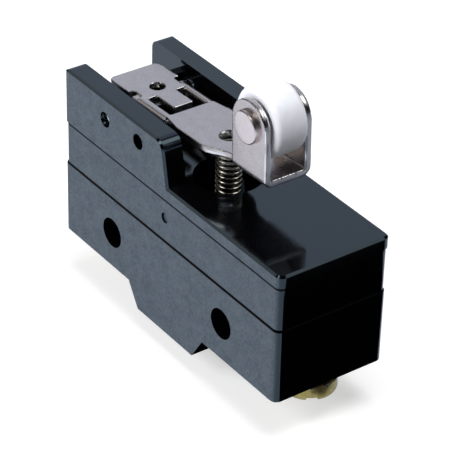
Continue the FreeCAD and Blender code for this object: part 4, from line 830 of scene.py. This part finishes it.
def makeWashers(cfg, seats, material):
    sizes = scaled(cfg, ["Ring radius", "Ring width", "Sheet", "Tooth length", "Tooth width", "Low"])
    tree, given = newTree("lockWashers", sizes)
    path = addNode(tree, "GeometryNodeCurvePrimitiveCircle",
                   inputs={"Resolution": given["Ring steps"], "Radius": given["Ring radius"]})
    section = addNode(tree, "GeometryNodeCurvePrimitiveQuadrilateral",
                      inputs={"Width": given["Sheet"], "Height": given["Ring width"]})
    ring = addNode(tree, "GeometryNodeCurveToMesh",
                   inputs={"Curve": path.outputs[0], "Profile Curve": section.outputs[0]})
    blockSize = addNode(tree, "ShaderNodeCombineXYZ",
                        inputs={"X": given["Tooth length"], "Y": given["Tooth width"], "Z": given["Sheet"]})
    block = addNode(tree, "GeometryNodeMeshCube",
                    inputs={"Size": blockSize.outputs[0], "Vertices X": given["Tooth steps"]})
    spot = addNode(tree, "GeometryNodeInputPosition").outputs[0]
    spotSplit = addNode(tree, "ShaderNodeSeparateXYZ", inputs={0: spot})
    share = addNode(tree, "ShaderNodeMath", {"operation": "DIVIDE"},
                    {0: spotSplit.outputs["X"], 1: given["Tooth length"]})
    outward = addNode(tree, "ShaderNodeMath", {"operation": "ADD"}, {0: share.outputs[0], 1: 0.5})
    angle = addNode(tree, "ShaderNodeMath", {"operation": "MULTIPLY"},
                    {0: outward.outputs[0], 1: given["Twist"]})
    twisted = addNode(tree, "ShaderNodeVectorRotate", {"rotation_type": "X_AXIS"},
                      {"Vector": spot, "Angle": angle.outputs[0]})
    tooth = addNode(tree, "GeometryNodeSetPosition",
                    inputs={"Geometry": block.outputs[0], "Position": twisted.outputs[0]})
    halfRing = addNode(tree, "ShaderNodeMath", {"operation": "MULTIPLY"}, {0: given["Ring width"], 1: 0.5})
    standOut = addNode(tree, "ShaderNodeMath", {"operation": "MULTIPLY"},
                       {0: given["Tooth length"], 1: given["Tooth seat"]})
    rim = addNode(tree, "ShaderNodeMath", {"operation": "ADD"},
                  {0: given["Ring radius"], 1: halfRing.outputs[0]})
    reach = addNode(tree, "ShaderNodeMath", {"operation": "ADD"},
                    {0: rim.outputs[0], 1: standOut.outputs[0]})
    stations = addNode(tree, "GeometryNodeMeshCircle",
                       inputs={"Vertices": given["Teeth"], "Radius": reach.outputs[0]})
    number = addNode(tree, "GeometryNodeInputIndex").outputs[0]
    step = addNode(tree, "ShaderNodeMath", {"operation": "DIVIDE"}, {0: math.tau, 1: given["Teeth"]})
    heading = addNode(tree, "ShaderNodeMath", {"operation": "MULTIPLY"}, {0: number, 1: step.outputs[0]})
    facing = addNode(tree, "ShaderNodeCombineXYZ", inputs={"Z": heading.outputs[0]})
    teeth = addNode(tree, "GeometryNodeInstanceOnPoints",
                    inputs={"Points": stations.outputs[0], "Instance": tooth.outputs[0],
                            "Rotation": facing.outputs[0]})
    whole = addNode(tree, "GeometryNodeJoinGeometry")
    tree.links.new(ring.outputs[0], whole.inputs[0])
    tree.links.new(teeth.outputs[0], whole.inputs[0])
    down = addNode(tree, "ShaderNodeMath", {"operation": "MULTIPLY"}, {0: given["Low"], 1: -1.0})
    drop = addNode(tree, "ShaderNodeCombineXYZ", inputs={"Z": down.outputs[0]})
    lowered = addNode(tree, "GeometryNodeTransform",
                      inputs={"Geometry": whole.outputs[0], "Translation": drop.outputs[0]})
    points = addNode(tree, "GeometryNodeMeshToPoints", inputs={"Mesh": given["Geometry"]})
    washers = addNode(tree, "GeometryNodeInstanceOnPoints",
                      inputs={"Points": points.outputs[0], "Instance": lowered.outputs[0]})
    closeTree(tree, washers.outputs[0], material)
    mesh = grow("lockWashers", seats, tree, sizes)
    piece = addPiece("lock_washers", mesh, material, Matrix.Identity(4))
    enter(piece, "housing", "bright_steel", "com_washer", "no_washer", "nc_washer")


def washerSeats():
    # the terminal plates' undersides on the three screws' axes
    seats = []
    for name in ("com", "no", "nc"):
        low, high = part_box(name + "_washer")
        seats.append(((low.x + high.x) / 2, (low.y + high.y) / 2, high.z))
    return seats


makeCamera(cameraSet)
floorHeight = cadLow.z - floorSet["gap"] * mm
makeWorld(studio)
makeFloor(floorSet, floorHeight)
makeShadeCards(shadeCardSet, floorHeight)
makeLamps(lampSet)
print("studio ready")

moulding = makeMoulding("erodedPhenolic", mouldingSet)
metals = {name: makeMetal(name, cfg, tarnishSet) for name, cfg in metalSet.items()}
plastics = {name: makePlastic(name, cfg, plasticGrain) for name, cfg in plasticSet.items()}
dress(moulding, "case", "middle_cover", "lever_housing")
dress(metals["blackenedSteel"], "spring_guide")
dress(metals["terminalBrass"], "com_terminal", "nc_terminal", "no_terminal", "anchor_rivet")
dress(metals["berylliumCopper"], "snap_spring")
dress(metals["silverContact"], "nc_contact", "no_contact", "moving_contact")
dress(plastics["redPhenolic"], "pin_plunger")
print("solids that keep their shape are finished")

makeLever(leverSet, metals["rolledStainless"])
makeRoller(rollerSet, plastics["turnedNylon"])
makeRivet(rivetSet, metals["nickelledRivet"])
makePin(pinSet, metals["groundSteel"])
makeSpring(springSet, metals["springSteelWire"])
seats = washerSeats()
makeScrews(screwSet, headSet, seats, metals["platedBrass"])
makeWashers(washerSet, seats, metals["groundSteel"])
print("lever, roller, rivet, pin, spring, screws and washers made")

bpy.context.scene.view_settings.view_transform = "Standard"
